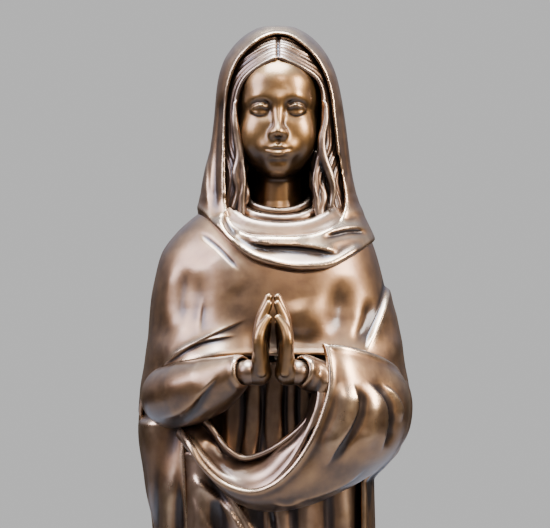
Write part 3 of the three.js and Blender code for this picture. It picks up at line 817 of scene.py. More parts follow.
def make_swag():
    # Each rib runs from the mantle's free edge, over the arm, to where the cloth turns under.
    ribs = [
        [(35, -78, 526), (54, -72, 524), (74, -56, 518), (88, -36, 510), (97, -10, 500)],
        [(38, -84, 512), (57, -79, 508), (80, -60, 501), (97, -38, 497), (103, -8, 490)],
        [(38, -88, 494), (58, -85, 489), (82, -67, 481), (101, -40, 478), (106, -6, 474)],
        [(34, -89, 478), (54, -88, 470), (79, -71, 460), (98, -43, 458), (103, -10, 455)],
        [(28, -89, 462), (48, -89, 451), (70, -73, 440), (88, -47, 438), (93, -20, 440)],
        [(20, -88, 446), (36, -86, 434), (54, -72, 424), (70, -50, 422), (76, -34, 426)],
        [(9, -86, 431), (22, -84, 420), (36, -72, 411), (48, -57, 410), (54, -48, 414)],
        [(-5, -82, 419), (4, -80, 409), (12, -71, 401), (20, -60, 399), (24, -54, 404)],
        [(-22, -78, 414), (-18, -76, 405), (-14, -69, 398), (-10, -61, 396), (-8, -56, 401)],
        [(-42, -73, 420), (-40, -71, 413), (-37, -65, 407), (-34, -60, 405), (-33, -56, 409)],
        [(-58, -67, 434), (-57, -65, 428), (-53, -60, 424), (-50, -56, 423), (-49, -53, 426)],
        [(-68, -60, 448), (-67, -58, 443), (-64, -54, 440), (-62, -51, 439), (-61, -49, 442)],
        [(-75, -46, 457), (-74, -44, 453), (-71, -41, 450), (-69, -39, 449), (-68, -38, 452)],
    ]
    folds = [
        lap([(36, 430), (46, 447), (56, 462), (62, 478), (58, 498)], 12, 3.4, 0.22, 2.0),
        round_fold([(60, 496), (65, 482), (60, 464), (50, 447), (40, 434)], 4.5, -2.6, 0.25),
        lap([(79, 440), (84, 456), (85, 472), (80, 484), (68, 498)], 11, 2.8, 0.25, 2.0),
        round_fold([(72, 498), (84, 485), (88, 470), (87, 456), (82, 442)], 4.5, -2.4, 0.25),
        lap([(96, 462), (97, 474), (91, 486), (80, 496)], 8, 2.2, 0.3, 1.8),
        round_fold([(48, 498), (51, 480), (46, 462), (34, 442)], 7, 1.8, 0.25),
        round_fold([(72, 488), (75, 474), (72, 458), (62, 442)], 6, 2.0, 0.3),
        lap([(8, 403), (30, 408), (52, 417), (70, 430)], 6, 1.2, 0.3, 1.8),
        crease([(-6, 404), (8, 402), (24, 407)], 4, 1.4, 0.35),
    ]
    cloth("swag_casting", loft(ribs), (270, 84), 1.1, mantle_bronze, "mantle_bronze", ["mantle_swag"], folds,
          wall=5, edge=2.4, hem=1.1)

    # Behind the free edge the cloth sinks into a hollow and rises to the rim under the gown's opening.
    sections = (
        [(35, -84, 500), (33, -78, 501), (32, -74, 502)],
        [(33, -87, 480), (30, -76, 481), (28, -74, 483)],
        [(27, -87, 463), (24, -70, 464), (21, -75, 468)],
        [(18, -85, 447), (12, -62, 451), (9, -73, 456)],
        [(7, -83, 432), (0, -58, 440), (-4, -71, 447)],
        [(-6, -79, 420), (-12, -55, 431), (-15, -70, 442)],
        [(-22, -75, 415), (-25, -54, 428), (-26, -69, 440)],
        [(-41, -70, 421), (-40, -60, 431), (-36, -68, 446)],
        [(-55, -65, 434), (-52, -50, 442), (-44, -62, 456)],
        [(-67, -57, 448), (-62, -50, 455), (-52, -57, 466)],
        [(-75, -42, 456), (-72, -38, 463), (-64, -44, 474)],
    )
    inside = []
    for edge, floor, rim in np.array(sections, float):
        tucked = edge + 0.35 * (edge - floor) + (0, 10, 0)
        slope = 0.45 * edge + 0.55 * floor
        slope[1] = edge[1] + 9
        inside.append([tucked, edge + (0, 4.5, 0), slope, 0.35 * floor + 0.65 * rim + (0, 11, -1), rim])
    folds = [
        round_fold([(-62, 451), (-50, 444), (-38, 437)], 4, -2.0, 0.3),
        round_fold([(-36, 424), (-21, 429), (-2, 438), (18, 451)], 4, -2.0, 0.3),
    ]
    cloth("swag_lining", loft(inside), (190, 36), 0.9, gown_bronze, "gown_bronze", (), folds, wall=4, edge=2)


# ---- Gown ----

def make_gown():
    # Upright folds: where each is, its sway, its width and its height.
    upright = (
        (-56, 3, 7, 3), (-44, -2, 5, -3), (-32, 3, 8, 3.5), (-17, 4, 5, -3.4), (-3, 6, 8, 2.6),
        (12, 2, 4.5, -3), (24, -4, 9, 3.6), (39, 3, 5, -3.8), (52, 4, 7, 3.4), (65, -2, 5, -3),
    )
    front = []
    for at, sway, width, height in upright:
        line = [(at, 440), (at + sway, 330), (at * 1.05 - sway, 190), (at * 1.12, 5)]
        front.append(round_fold(line, width, height, 0.12))
    front += [
        lap([(-21, 372), (-32, 393), (-44, 406), (-60, 424)], 9, 4.5, 0.2),
        lap([(2, 340), (-14, 372), (-28, 400), (-46, 424)], 10, 4, 0.25),
        crease([(-6, 412), (-4, 392), (2, 350), (8, 290)], 5, -5, 0.2),
        lap([(20, 120), (2, 230), (-30, 340), (-66, 420)], 16, 5, 0.3),
        lap([(38, 90), (24, 190), (-6, 280), (-40, 350)], 14, 4, 0.3),
    ]

    def full_at_the_hip(spots):
        return 9 * np.exp(-(((spots[..., 0] + 60) / 14) ** 2)) * ease((spots[..., 2] - 120) / 90)

    place = round_body(gown, (180, 360), 0.3, 440)
    cloth("gown_front_casting", place, (290, 440), 1.75, gown_bronze, "gown_bronze", ["gown_front"], front,
          hem=0.8, shape=full_at_the_hip)
    back = []
    for at, height in ((-110, 3), (-80, -3), (-50, 3), (-20, -3), (12, 3), (42, -3), (72, 3), (102, -3)):
        back.append(round_fold([(at, 430), (at * 1.05, 200), (at * 1.1, 2)], 7, height, 0.3))
    place = round_body(gown, (0, 180), 0.3, 430)
    cloth("gown_back_casting", place, (270, 430), 3.0, gown_bronze, "gown_bronze", ["gown_back"], back,
          unrolled, hem=1.0)


def make_bodice():
    # Narrow pleats: where each is, its sway, its width and its height.
    rows = (
        (-36, 1, 4, 1.4), (-28, -1.5, 2.4, -2.0), (-20, 1, 5, 1.4), (-13, -1, 1.8, -2.6),
        (-9, 1.5, 1.6, -1.4), (-1, 0, 6, 1.8), (7, 1, 2.0, -2.4), (12, -1, 4, 1.2),
        (17.5, 1.5, 1.8, -2.2), (24, -1, 4, 1.2), (30, 1, 2.2, -1.6),
    )
    pleats = []
    for at, sway, width, height in rows:
        lean = at * 0.08
        line = [(at - lean + sway, 515), (at - sway, 470), (at + lean + sway, 428)]
        pleats.append(round_fold(line, width, height, 0))
    place = round_body(gown, (226, 314), 426, 512)
    cloth("bodice_casting", place, (92, 86), 0.8, gown_bronze, "gown_bronze", ["gown_bodice"], pleats,
          hem=0.4)


# ---- Arms ----

def make_sleeves():
    right = Clay((-118, -108, 446), (-22, 20, 534), 0.75)
    arm = [(-82, -4, 482), (-80, -30, 483), (-67, -50, 487), (-52, -65, 492), (-40, -74, 498),
           (-30, -80, 504)]
    right.rod(arm, [24, 25.5, 25.5, 22.5, 17.5, 13], 3, steps=10)
    folds = [
        lap([(-92, 466), (-78, 469), (-66, 477), (-58, 486), (-50, 495), (-42, 505)], 12, 2.6, 0.25, 1.8),
        round_fold([(-92, 462), (-76, 465), (-64, 473), (-56, 483), (-48, 492)], 4, -1.6, 0.3),
        round_fold([(-92, 488), (-76, 496), (-54, 505)], 9, 1.2, 0.35),
        round_fold([(-31.5, 516), (-34, 508), (-33, 499), (-28, 490)], 1.8, 1.5, 0.15),
    ]
    right.field -= right.front_relief(folds, 0, -20)
    right.rod([(-34, -78, 502.5), (-24, -85, 505)], 9.8, 1.4, carve=True)
    right.soften(2)
    make_piece("right_sleeve_casting", *right.surface(), mantle_bronze, "mantle_bronze", ["right_sleeve"])

    left = Clay((8, -104, 452), (100, 12, 524), 0.75)
    arm = [(74, -10, 480), (70, -34, 484), (54, -56, 489), (38, -71, 496), (22, -80, 504)]
    left.rod(arm, [17, 17, 16, 14, 12.8], 3, steps=10)
    folds = [
        round_fold([(24, 516), (27, 509), (25, 500), (17, 490)], 1.8, 1.5, 0.15),
        round_fold([(31, 513), (34, 502), (30, 490), (22, 480)], 3, -1.2, 0.3),
        round_fold([(28, 484), (35, 490), (40, 500)], 4, 1.2, 0.3),
    ]
    left.field -= left.front_relief(folds, 0, -20)
    left.rod([(26, -79, 502.5), (14, -86, 505)], 9.8, 1.4, carve=True)
    left.soften(2)
    make_piece("left_sleeve_casting", *left.surface(), mantle_bronze, "mantle_bronze", ["left_sleeve"])


def make_cuffs():
    for side, name in ((-1, "right"), (1, "left")):
        middle = hand_shift + side * 22.5
        cuff = Clay((middle - 14, -100, 486), (middle + 14, -62, 520), 0.6)
        cuff.rod([(middle + side * 8, -77, 502.5), (middle - side * 4, -82.5, 503.5)], [9.6, 9.2], 0.5)
        for turn in range(3):
            share = turn / 2
            band = (middle + side * (4.5 - 8 * share), -78.5 - 3.7 * share, 503 + 0.4 * share)
            cuff.ball(band, 9.75, 0.5)
        make_piece(f"{name}_cuff_casting", *cuff.surface(), gown_bronze, "gown_bronze", [f"{name}_cuff"])


def make_hands():
    """Praying hands, little fingers in front: each a palm, four fingers laid side by side and a thumb."""
    # From the little finger to the first: depth at the knuckle and the tip, the tip's height, the thickness.
    fingers = ((-97, -93.5, 548, 4.0), (-89.5, -88, 559, 4.6), (-82, -82, 564, 4.7), (-74.5, -76.5, 559, 4.4))
    for side, name in ((-1, "right"), (1, "left")):
        across = (hand_shift - 26, hand_shift + 0.4) if side < 0 else (hand_shift - 0.4, hand_shift + 26)
        hand = Clay((across[0], -106, 486), (across[1], -58, 570), 0.5)

        def at(x, y, z):
            return (hand_shift + side * x, y, z)

        hand.egg(at(9.4, -82, 514), (6.4, 13.5, 19.5), 1)
        hand.rod([at(9.6, -93, 524), at(10.4, -92, 512), at(10, -88, 503)], [4.8, 6.0, 6.2], 4)
        hand.rod([at(9, -71, 514), at(10, -73, 503)], [5.5, 6.2], 4)
        hand.rod([at(9.5, -83, 503), at(14, -82, 503), at(22, -80, 503)], [8.0, 8.7, 8.7], 5)
        for deep, tip_deep, top, thick in fingers:
            joint = at(8.6, 0.5 * (deep + tip_deep), 0.5 * (526 + top))
            tip = at(3.4, tip_deep, top - 0.7 * thick)
            finger = [at(9, deep + 4, 504), at(11, deep, 526), joint, tip]
            hand.rod(finger, [thick, thick + 0.4, thick - 0.1, 0.66 * thick], 0.5)
        hand.rod([at(9, -69, 508), at(7, -67, 524), at(4.2, -68.5, 541)], [5.2, 4.6, 3.2], 1.4)
        hand.soften(1)
        make_piece(f"{name}_hand_casting", *hand.surface(), skin_bronze, "skin_bronze", [f"{name}_hand"])


# ---- Veil ----

veil_arch = smooth_line([
    (-38, 560), (-38, 600), (-41, 640), (-41.5, 675), (-41, 705), (-38, 727), (-31, 745),
    (-19, 758), (-7, 765), (2, 766.5), (12, 764), (26, 753), (36, 739), (42, 722), (45, 700),
    (48, 672), (52, 645), (55, 610), (55, 560),
], 6)
cowl_hem = smooth_line([
    (-84, 652), (-61, 629), (-51, 618), (-38, 604), (-25, 593), (-11, 586.5), (10, 581.5),
    (28, 581), (42, 583), (56, 590), (67, 597), (78, 605), (96, 622),
], 6)
cowl_neck = smooth_line([
    (-40, 670), (-40, 640), (-38, 626), (-32, 615), (-21, 609.5), (-5, 608.5), (10, 608.5),
    (27, 610), (40, 615), (50, 624), (55, 640), (56, 670),
], 6)


def hood_front(x, z):
    """How far forward the hood's front is."""
    x = x - hood["centre"][0]
    wide = np.where(x > 0, hood["right"](z), hood["left"](z))
    return hood["centre"][1] - hood["front"](z) * np.sqrt(np.clip(1 - (x / wide) ** 2, 0.02, 1))


def make_veil():
    veil = Clay((-84, -62, 574), (90, 60, 778), 1.24)
    x, y, z = veil.everywhere()
    opening = veil.beside(veil_arch)
    above_hem = veil.beside(cowl_hem)

    panels = [
        round_fold([(-43, 722), (-46, 690), (-48, 655), (-47, 625)], 2.6, -2.0, 0.15),
        lap([(-48, 610), (-55, 650), (-52, 690), (-49, 722)], 6, 1.6, 0.25),
        round_fold([(49, 715), (52, 680), (56, 645)], 2.4, -1.6, 0.2),
    ]
    drape = [round_fold([(at, 742), (1.15 * at + 3, 690), (1.35 * at, 622)], 5, height, 0.3)
             for at, height in ((-30, 2.2), (-17, -2.4), (-4, 2.4), (9, -2.4), (21, 2.4), (32, -2.0))]
    around = veil.form(hood, hood_top)
    lift = veil.front_relief(panels, 12, -8) + veil.front_relief(drape, 8, 26)
    shell = soft_most(around - lift, -(around + 4.5), 1.0)
    shell = soft_most(shell, -np.maximum(opening, y - 6), 1.5)

    folds = [
        round_fold([(across, level + 4) for across, level in cowl_hem[12:-12:6]], 3.8, 2.8, 0.05),
        lap([(-23, 603), (-9, 600), (10, 599.5), (27, 598), (49, 594)], 12, 4.0, 0.15, 1.8),
        round_fold([(-24, 600), (-9, 597.5), (10, 596.5), (27, 595), (44, 592)], 3.0, -1.6, 0.2),
        round_fold([(-41, 629), (-33, 615), (-21, 607), (-5, 607), (10, 606.5), (26, 605)], 3.4, 1.6, 0.15),
        round_fold([(-40, 627), (-37, 617), (-31, 608)], 2.6, -3.6, 0.2),
        round_fold([(-45, 628), (-40, 611), (-28, 599)], 2.4, 1.8, 0.25),
        round_fold([(34, 605), (48, 609), (60, 611), (72, 609.5)], 2.6, -2.4, 0.3),
        lap([(34, 607), (48, 611), (60, 613), (72, 611.5)], 7, 2.0, 0.3, 2.0),
        round_fold([(40, 616), (54, 621), (66, 622)], 3, -1.4, 0.3),
    ]
    body = veil.form(robe)
    cowl_lift = veil.front_relief(folds, 14, 0)
    throat = np.minimum(veil.beside(cowl_neck), 8 - y)
    cowl = soft_most(body - 4.0 - cowl_lift, -(body + 1), 1.0)
    cowl = soft_most(cowl, -above_hem, 2.2)
    cowl = soft_most(cowl, throat, 3)
    cowl = soft_most(cowl, z - 642 + 0 * x, 4)
    cowl = np.maximum(cowl, y - 30)
    veil.field = soft_least(shell, cowl.astype(np.float32), 5).astype(np.float32)

    rim = [(across, hood_front(across, level) + 1.8, level) for across, level in veil_arch[12:-18:6]]
    veil.rod(rim, [1.5] * len(rim), 1.8, steps=4)
    veil.soften(1)
    make_piece("veil_casting", *veil.surface(), mantle_bronze, "mantle_bronze", ["veil"])


def make_collar():
    collar = Clay((-58, -56, 596), (62, 18, 652), 0.85)
    # Rings of cloth from the neck outwards: the thickness of each, how softly it joins, and its points.
    rings = (
        (3.4, 1, [(-25, 6, 646), (-23, -11, 635), (-12, -19, 629), (2, -21.5, 627), (16, -19, 629),
                  (26, -10, 636), (28, 6, 646)]),
        (4.4, 1.2, [(-31, 6, 642), (-28, -15, 630), (-16, -26, 623), (3, -29.5, 620.5), (20, -26, 622.5),
                    (33, -14, 631), (36, 6, 642)]),
        (5.6, 1.6, [(-41, 6, 640), (-36, -20, 627), (-22, -33.5, 617), (3, -37.5, 613.5), (26, -33.5, 616),
                    (42, -21, 625), (47, 6, 640)]),
        (5.6, 6, [(-46, 6, 632), (-41, -24, 618), (-24, -37, 609), (3, -40.5, 606), (28, -37, 608),
                  (46, -26, 616), (52, 6, 632)]),
    )
    for radius, blend, points in rings:
        collar.rod(points, radius, blend)
    make_piece("collar_casting", *collar.surface(), gown_bronze, "gown_bronze", ["gown_collar"])


# ---- Head ----

# A head of the usual proportions: the figure is seven and a half heads high, and the head is two thirds as
# wide as it is high and five eyes wide. The eyes are half way up, and the brow and the base of the nose part
# the hairline from the chin in thirds.
crown_of_head = 758.0
head_height = drawn_height / 7.5
half_head = head_height / 3
eye_width = 2 * half_head / 5
eye_level = crown_of_head - head_height / 2
chin = crown_of_head - head_height
face_third = 7 / 8 * head_height / 3
nose_level = chin + face_third
brow_level = nose_level + face_third
mouth_level = nose_level - face_third / 3
face_depth = -38.0  # how far forward the face is at the root of the nose


def make_head():
    head = Clay((-36, -58, 606), (40, 46, 760), 0.67)
    middle = head_shift - 1.2

    def at(x, y, z):
        return (middle + x, y, z)

    def both(shape):
        for side in (-1, 1):
            shape(side)

    # The skull, the front of the face, the jaw, the chin and the neck.
    head.egg(at(0, 2, crown_of_head - 42), (half_head, 39, 42), 1)
    head.egg(at(0, -11, chin + 38), (0.87 * half_head, 29, 38), 5)
    head.egg(at(0, -17, mouth_level + 1), (0.7 * half_head, 20, 20), 8)
    head.egg(at(0, -30, chin + 7), (0.6 * eye_width, 7.5, 7), 9)
    head.rod([at(0, 4, 672), at(0, 2, 650), at(0, 1, 632), at(0, 1, 612)], [18.5, 18, 19, 24], 5)
    # The forehead and the brow.
    head.egg(at(0, -22, brow_level + 11), (0.64 * half_head, 15.5, 16), 10)
    arch = ((-1.6, 12, -2.2), (-0.95, 4.2, 1.2), (0, 2.6, -0.8), (0.95, 4.2, 1.2), (1.6, 12, -2.2))
    brow = [at(share * eye_width, face_depth + back, brow_level + rise) for share, back, rise in arch]
    head.rod(brow, [1.2, 2.8, 2.8, 2.8, 1.2], 10)

    def cheek(side):
        head.egg(at(side * 1.1 * eye_width, -23.5, nose_level + 2), (11, 11, 14), 11)

    def eye(side):
        def lid(x, y, z):
            return at(side * (eye_width + x), face_depth + y, eye_level + z)

        half = eye_width / 2
        head.egg(at(side * 0.96 * eye_width, -43.8, eye_level - 0.4), (8.8, 7.6, 6.2), 6, carve=True)
        head.ball(at(side * 0.98 * eye_width, -30.2, eye_level), 7.4, 1.0)
        upper = [lid(-half, 3.4, -0.9), lid(-0.55 * half, 0.8, 2.0), lid(0, -0.2, 3.1),
                 lid(0.6 * half, 1.8, 2.1), lid(1.08 * half, 6, -0.6)]
        lower = [lid(-half, 3.4, -1.2), lid(-0.5 * half, 1.5, -3.1), lid(0, 0.8, -3.7),
                 lid(0.6 * half, 2.4, -3.1), lid(1.05 * half, 5.8, -1.2)]
        crease_over = [lid(-0.8 * half, 0.6, 4.8), lid(0, -1.4, 6.4), lid(half, 4, 4.2)]
        head.rod(upper, [0.7, 1.1, 1.25, 1.1, 0.7], 1.8)
        head.rod(lower, [0.6, 0.8, 0.85, 0.8, 0.6], 1.8)
        head.rod(crease_over, 0.6, 2.2, carve=True)

    def nostril(side):
        wing = at(side * 0.29 * eye_width, face_depth - 4.4, nose_level + 2.6)
        hole = at(side * 0.16 * eye_width, face_depth - 6.2, nose_level - 0.6)
        head.ball(wing, 2.6, 5.5)
        head.egg(hole, (1.0, 1.6, 0.7), 1.6, carve=True)

    both(cheek)
    both(eye)
    nose = [at(0, face_depth + 1.8, brow_level - 1), at(0, face_depth - 0.4, eye_level),
            at(0, face_depth - 4.2, nose_level + 11), at(0, face_depth - 7.2, nose_level + 3.8)]
    head.rod(nose, [3.2, 2.6, 2.9, 3.5], 6)
    both(nostril)
    # The mouth on its mound, the groove above it and the one over the chin.
    corner = 0.72 * eye_width
    head.egg(at(0, -35.5, mouth_level + 0.5), (12.5, 7, 9), 8)

    def lip(half, radii, carve=False):
        """A line of the mouth from its corner to its middle, and the same on the other side."""
        line = half + [(-x, y, z) for x, y, z in half[::-1] if x != 0]
        row = [at(x * corner, face_depth + y, mouth_level + z) for x, y, z in line]
        head.rod(row, radii, 2.2, carve)

    lip([(-1, -1.6, 0.4), (-0.5, -4.3, 1.4), (-0.16, -5.2, 2.3)], [0.4, 1.2, 1.6, 1.6, 1.2, 0.4])
    lip([(-1, -1.2, 0.2), (-0.6, -3.4, -1.5), (-0.2, -4.9, -2.9)], [0.3, 1.3, 2.0, 2.0, 1.3, 0.3])
    lip([(-1, -2.6, 0.5), (-0.5, -6.4, -0.1), (0, -7.6, -0.5)], [0.3, 0.7, 0.7, 0.7, 0.3], carve=True)
    over_mouth = [at(0, face_depth - 6, nose_level - 1.6), at(0, face_depth - 6.4, nose_level - 4.6)]
    over_chin = [at(-5, face_depth - 2.2, chin + 11.2), at(0, face_depth - 3.4, chin + 10.6),
                 at(5, face_depth - 2.2, chin + 11.2)]
    head.rod(over_mouth, 0.8, 2.6, carve=True)
    head.rod(over_chin, 1.0, 5, carve=True)
    head.soften(2)
    make_piece("head_casting", *head.surface(), skin_bronze, "skin_bronze", ["head"])


# ---- Hair ----

hairline = smooth_line([
    (-25, 600), (-25, 630), (-24, 650), (-25.5, 668), (-28, 685), (-30.5, 702), (-29.5, 716),
    (-25.5, 727), (-18.5, 734.5), (-8, 741), (0.8, 744.5), (9, 741.5), (20, 736.5), (29.5, 730),
    (34, 720), (34.5, 704), (33, 685), (29.5, 666), (27, 650), (29, 630), (31, 600),
], 6)


def make_hair():
    hair = Clay((-52, -50, 606), (56, 50, 770), 0.78)
    x, y, z = hair.everywhere()
    outside = hair.beside(hairline)
    # The hair fills the hood, and shows between its edge and the hairline.
    body = hair.form(hood, hood_top) + 5.0
    body = soft_most(body, -np.maximum(0.8 - hair.beside(veil_arch), y - 4), 1.5)

    # The strands follow the hairline, and wave as they fall.
    wave = 1.8 * np.sin(z / 8.5) * ease((706 - z) / 30)
    fine = 0.7 * np.sin(2 * math.pi * (outside + wave) / 2.7)
    broad = 0.4 * np.sin(2 * math.pi * (outside + 0.7 * wave) / 6.3)
    strands = (fine + broad) * ease((outside - 2.0) / 2)
    roll = 2.0 * np.exp(-(((outside - 3.0) / 3.2) ** 2))
    part = -2.2 * np.exp(-(((x - 0.8) / 1.1) ** 2)) * ease((z - 741) / 4)
    behind = 0.7 * np.sin(2 * math.pi * (x + 1.5 * wave) / 3.2) * ease(-outside / 2)
    lift = (strands + roll + part + behind) * ease((10 - y) / 20)
    depth = 14 - 23 * ease((674 - z) / 16)
    hair.field = soft_most(body - lift, -np.maximum(outside, y - depth + behind), 2.4)
    hair.field = soft_most(hair.field, -(body + 9), 1.0)
    hair.field = soft_most(hair.field, z - 765 + 0 * x, 1.0)
    hair.field = soft_most(hair.field, y - 18 + 0 * x, 1.0).astype(np.float32)

    locks = (
        [(-33, -24, 712), (-33, -25, 698), (-31, -25, 684), (-29, -26, 670), (-32, -27, 656), (-30, -28, 643),
         (-34, -28, 630)],
        [(-27, -14, 672), (-25, -18, 662), (-27, -21, 652), (-24, -22, 640), (-27, -24, 628)],
        [(38, -22, 712), (38, -23, 698), (35, -25, 684), (36, -26, 670), (41, -26, 656), (44, -26, 643),
         (42, -28, 630)],
        [(30, -14, 674), (29, -18, 662), (33, -22, 650), (36, -25, 638), (34, -28, 626), (38, -32, 614)],
        [(26, -12, 658), (28, -16, 648), (31, -20, 640), (29, -24, 630)],
    )
    # Each lock swells and thins along its length, and two grooves part its strands.
    for lock in locks:
        radii = 1.0 + 2.6 * np.sin(np.linspace(0.15, 2.9, len(lock)))
        hair.rod(lock, radii, 1.2, steps=4)
        for shift in (-1.5, 1.5):
            groove = [(across + shift, along - 3.6, level) for across, along, level in lock]
            hair.rod(groove, 0.55, 0.6, carve=True, steps=4)
    hair.soften(1)
    make_piece("hair_casting", *hair.surface(), hair_bronze, "hair_bronze", ["hair"])


# ---- Plinth, shoes and fixings ----

def make_plinth():
    """A hollow plate: a bevelled block whose underside is drawn in to leave a rim to stand on."""
    low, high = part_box("plinth")
    size = high - low
    bpy.ops.mesh.primitive_cube_add(size=1, location=(low + high) / 2)
    plinth = bpy.context.object
    plinth.name = "plinth_casting"
    plinth.scale = size
    bpy.ops.object.transform_apply(location=True, scale=True)
    bpy.ops.object.mode_set(mode="EDIT")
    bpy.ops.mesh.select_all(action="DESELECT")
    mesh = bmesh.from_edit_mesh(plinth.data)
    for edge in mesh.edges:
        edge.select = abs((edge.verts[0].co - edge.verts[1].co).z) > 0.5 * size.z
    mesh.select_flush(True)
    bmesh.update_edit_mesh(plinth.data)
    bpy.ops.mesh.bevel(offset=0.3 * size.z, segments=5, affect="EDGES")
    bpy.ops.mesh.select_all(action="DESELECT")
    mesh = bmesh.from_edit_mesh(plinth.data)
    for face in mesh.faces:
        face.select = face.normal.z < -0.9
    bmesh.update_edit_mesh(plinth.data)
    bpy.ops.mesh.inset(thickness=8 * unit)
    bpy.ops.mesh.extrude_region_move(TRANSFORM_OT_translate={"value": (0, 0, size.z - 6 * unit)})
    bpy.ops.object.mode_set(mode="OBJECT")
    for width, segments in ((2.2, 4), (1.0, 2)):
        bevel = plinth.modifiers.new("rounded edges", "BEVEL")
        bevel.width = width * unit
        bevel.segments = segments
        bevel.angle_limit = math.radians(40)
        bpy.ops.object.modifier_apply(modifier=bevel.name)
    split_long_edges(plinth, 8)
    finish_piece(plinth, plinth_bronze, "plinth_bronze", ["plinth"])


def split_long_edges(piece, spacing):
    """Splits long edges so that wear and small dents have points to work on."""
    bpy.ops.object.mode_set(mode="EDIT")
    bpy.ops.mesh.select_all(action="SELECT")
    bpy.ops.mesh.quads_convert_to_tris()
    bpy.ops.object.mode_set(mode="OBJECT")
    for _ in range(6):
        mesh = bmesh.new()
        mesh.from_mesh(piece.data)
        long_edges = [edge for edge in mesh.edges if edge.calc_length() > spacing * unit]
        if not long_edges:
            mesh.free()
            break
        bmesh.ops.subdivide_edges(mesh, edges=long_edges, cuts=1)
        bmesh.ops.triangulate(mesh, faces=[face for face in mesh.faces if len(face.verts) > 3])
        mesh.to_mesh(piece.data)
        mesh.free()


def make_shoes():
    """The toes of two plain shoes under the gown's hem, each with a welt round its sole."""
    for name in ("right_shoe", "left_shoe"):
        low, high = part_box(name)
        low, high = ((np.array(corner) - (0, 0, figure_floor)) / unit for corner in (low, high))
        middle, size = (low + high) / 2, high - low
        shoe = Clay(low - 3, high + 3, 0.8)
        toe = low[1] + 0.33 * size[1]
        sole = (middle[0], toe, low[2] + 0.35 * size[2])
        shoe.egg(sole, (0.47 * size[0], 0.32 * size[1], 0.62 * size[2]), 1)
        instep = (middle[0], toe, low[2] + 0.42 * size[2])
        ankle = (middle[0], high[1] - 0.4 * size[0], low[2] + 0.5 * size[2])
        shoe.rod([instep, ankle], [0.36 * size[0], 0.4 * size[0]], 6)
        welt = [(middle[0] + 0.43 * size[0] * math.cos(a), toe + 0.30 * size[1] * math.sin(a), low[2] + 1.6)
                for a in np.linspace(math.pi, 2 * math.pi, 9)]
        shoe.rod(welt, 1.3, 0.8)
        x, y, z = shoe.everywhere()
        shoe.field = soft_most(shoe.field, low[2] - z + 0 * x, 0.6).astype(np.float32)
        shoe.field = soft_most(shoe.field, z - high[2] + 0 * x, 1.5).astype(np.float32)
        shoe.soften(1)
        make_piece(f"{name}_casting", *shoe.surface(), gown_bronze, "gown_bronze", [name])


def finish_fixings():
    """The sockets, the boss and the steel armature keep their own shapes and get their finishes."""
    for name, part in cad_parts.items():
        if part.hide_render:
            continue
        cast_part = name.startswith("anchor_socket") or name == "neck_boss"
        part.data.materials.clear()
        part.data.materials.append(fitting_bronze if cast_part else stainless)


# ---- Floor, light and camera ----

def make_floor():
    bpy.ops.mesh.primitive_plane_add(size=3.4)
    floor = bpy.context.object
    floor.name = "floor"
    paint = bpy.data.materials.new("pale_floor")
    paint.use_nodes = True
    shader = paint.node_tree.nodes["Principled BSDF"]
    shader.inputs["Base Color"].default_value = (0.24, 0.235, 0.23, 1)
    shader.inputs["Roughness"].default_value = 0.8
    floor.data.materials.append(paint)


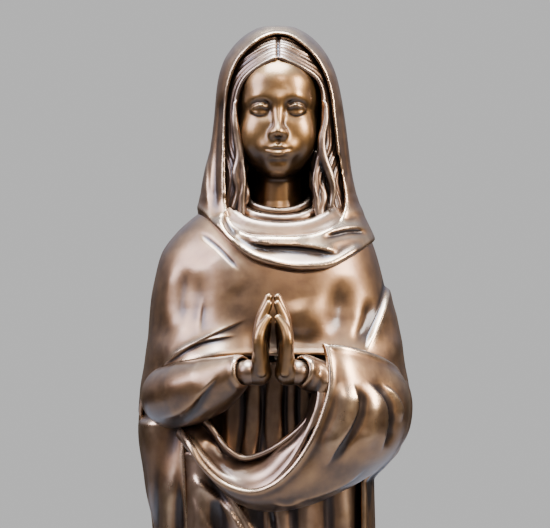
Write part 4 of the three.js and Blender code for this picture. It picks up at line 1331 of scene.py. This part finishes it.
def make_world():
    """A pale studio: bright and cool overhead, dimmer at the height of the eye and warm and dark below."""
    world = bpy.data.worlds.new("studio")
    bpy.context.scene.world = world
    world.use_nodes = True
    nodes, links = world.node_tree.nodes, world.node_tree.links
    coordinates = nodes.new("ShaderNodeTexCoord")
    axes = nodes.new("ShaderNodeSeparateXYZ")
    links.new(coordinates.outputs["Generated"], axes.inputs["Vector"])
    ramp = nodes.new("ShaderNodeValToRGB")
    shift = nodes.new("ShaderNodeMapRange")
    shift.inputs["From Min"].default_value = -1
    shift.inputs["From Max"].default_value = 1
    links.new(axes.outputs["Z"], shift.inputs["Value"])
    links.new(shift.outputs["Result"], ramp.inputs["Fac"])
    set_stops(ramp, (
        (0.0, (0.03, 0.022, 0.015)), (0.42, (0.05, 0.038, 0.026)), (0.5, (0.11, 0.092, 0.074)),
        (0.60, (0.30, 0.29, 0.34)), (0.78, (0.66, 0.76, 1.05)), (1.0, (1.4, 1.7, 2.3)),
    ))
    links.new(ramp.outputs["Color"], nodes["Background"].inputs["Color"])
    backdrop = nodes.new("ShaderNodeBackground")
    backdrop.inputs["Color"].default_value = (0.60, 0.60, 0.60, 1)
    path = nodes.new("ShaderNodeLightPath")
    choose = nodes.new("ShaderNodeMixShader")
    links.new(path.outputs["Is Camera Ray"], choose.inputs["Fac"])
    links.new(nodes["Background"].outputs["Background"], choose.inputs[1])
    links.new(backdrop.outputs["Background"], choose.inputs[2])
    links.new(choose.outputs["Shader"], nodes["World Output"].inputs["Surface"])


def make_lights():
    """Softboxes round the chest: where each stands, its size, its power and its colour."""
    height = cad_box[1].z - cad_box[0].z
    chest = Vector((0, 0, cad_box[0].z + 0.72 * height))
    boxes = {
        "overhead": ((-0.1, -0.3, 1.8), 1.2, 185, (0.58, 0.74, 1.0)),
        "window": ((-1.9, -0.7, 1.3), 1.5, 85, (0.68, 0.72, 1.0)),
        "front": ((0.35, -1.9, 1.4), 0.6, 15, (1.0, 0.84, 0.66)),
        "right": ((1.9, -0.9, 1.0), 0.9, 85, (1.0, 0.95, 0.92)),
    }
    for name, (place, size, power, colour) in boxes.items():
        light = bpy.data.lights.new(name, "AREA")
        light.shape = "SQUARE"
        light.size = size * height
        light.energy = power
        light.color = colour
        holder = bpy.data.objects.new(name, light)
        bpy.context.scene.collection.objects.link(holder)
        holder.location = chest + Vector(place) * height
        holder.rotation_euler = (chest - holder.location).to_track_quat("-Z", "Y").to_euler()


def make_camera():
    """Level with the chest, far off, and looking at the figure's upper half."""
    camera = bpy.data.cameras.new("camera")
    holder = bpy.data.objects.new("camera", camera)
    bpy.context.scene.collection.objects.link(holder)
    bpy.context.scene.camera = holder
    height = cad_box[1].z - cad_box[0].z
    distance = 2.75 * height
    shown_width = 0.543 * height
    camera.sensor_width = 36
    camera.lens = camera.sensor_width * distance / shown_width
    holder.location = (-0.002 * height, -distance, cad_box[0].z + 0.7637 * height)
    holder.rotation_euler = (math.radians(90), 0, 0)


# ---- Build ----

for make in (
    make_cape, make_back, make_falls, make_swag, make_gown, make_bodice, make_sleeves, make_cuffs, make_hands,
    make_veil, make_collar, make_head, make_hair, make_plinth, make_shoes, finish_fixings, make_floor,
    make_world, make_lights, make_camera,
):
    make()
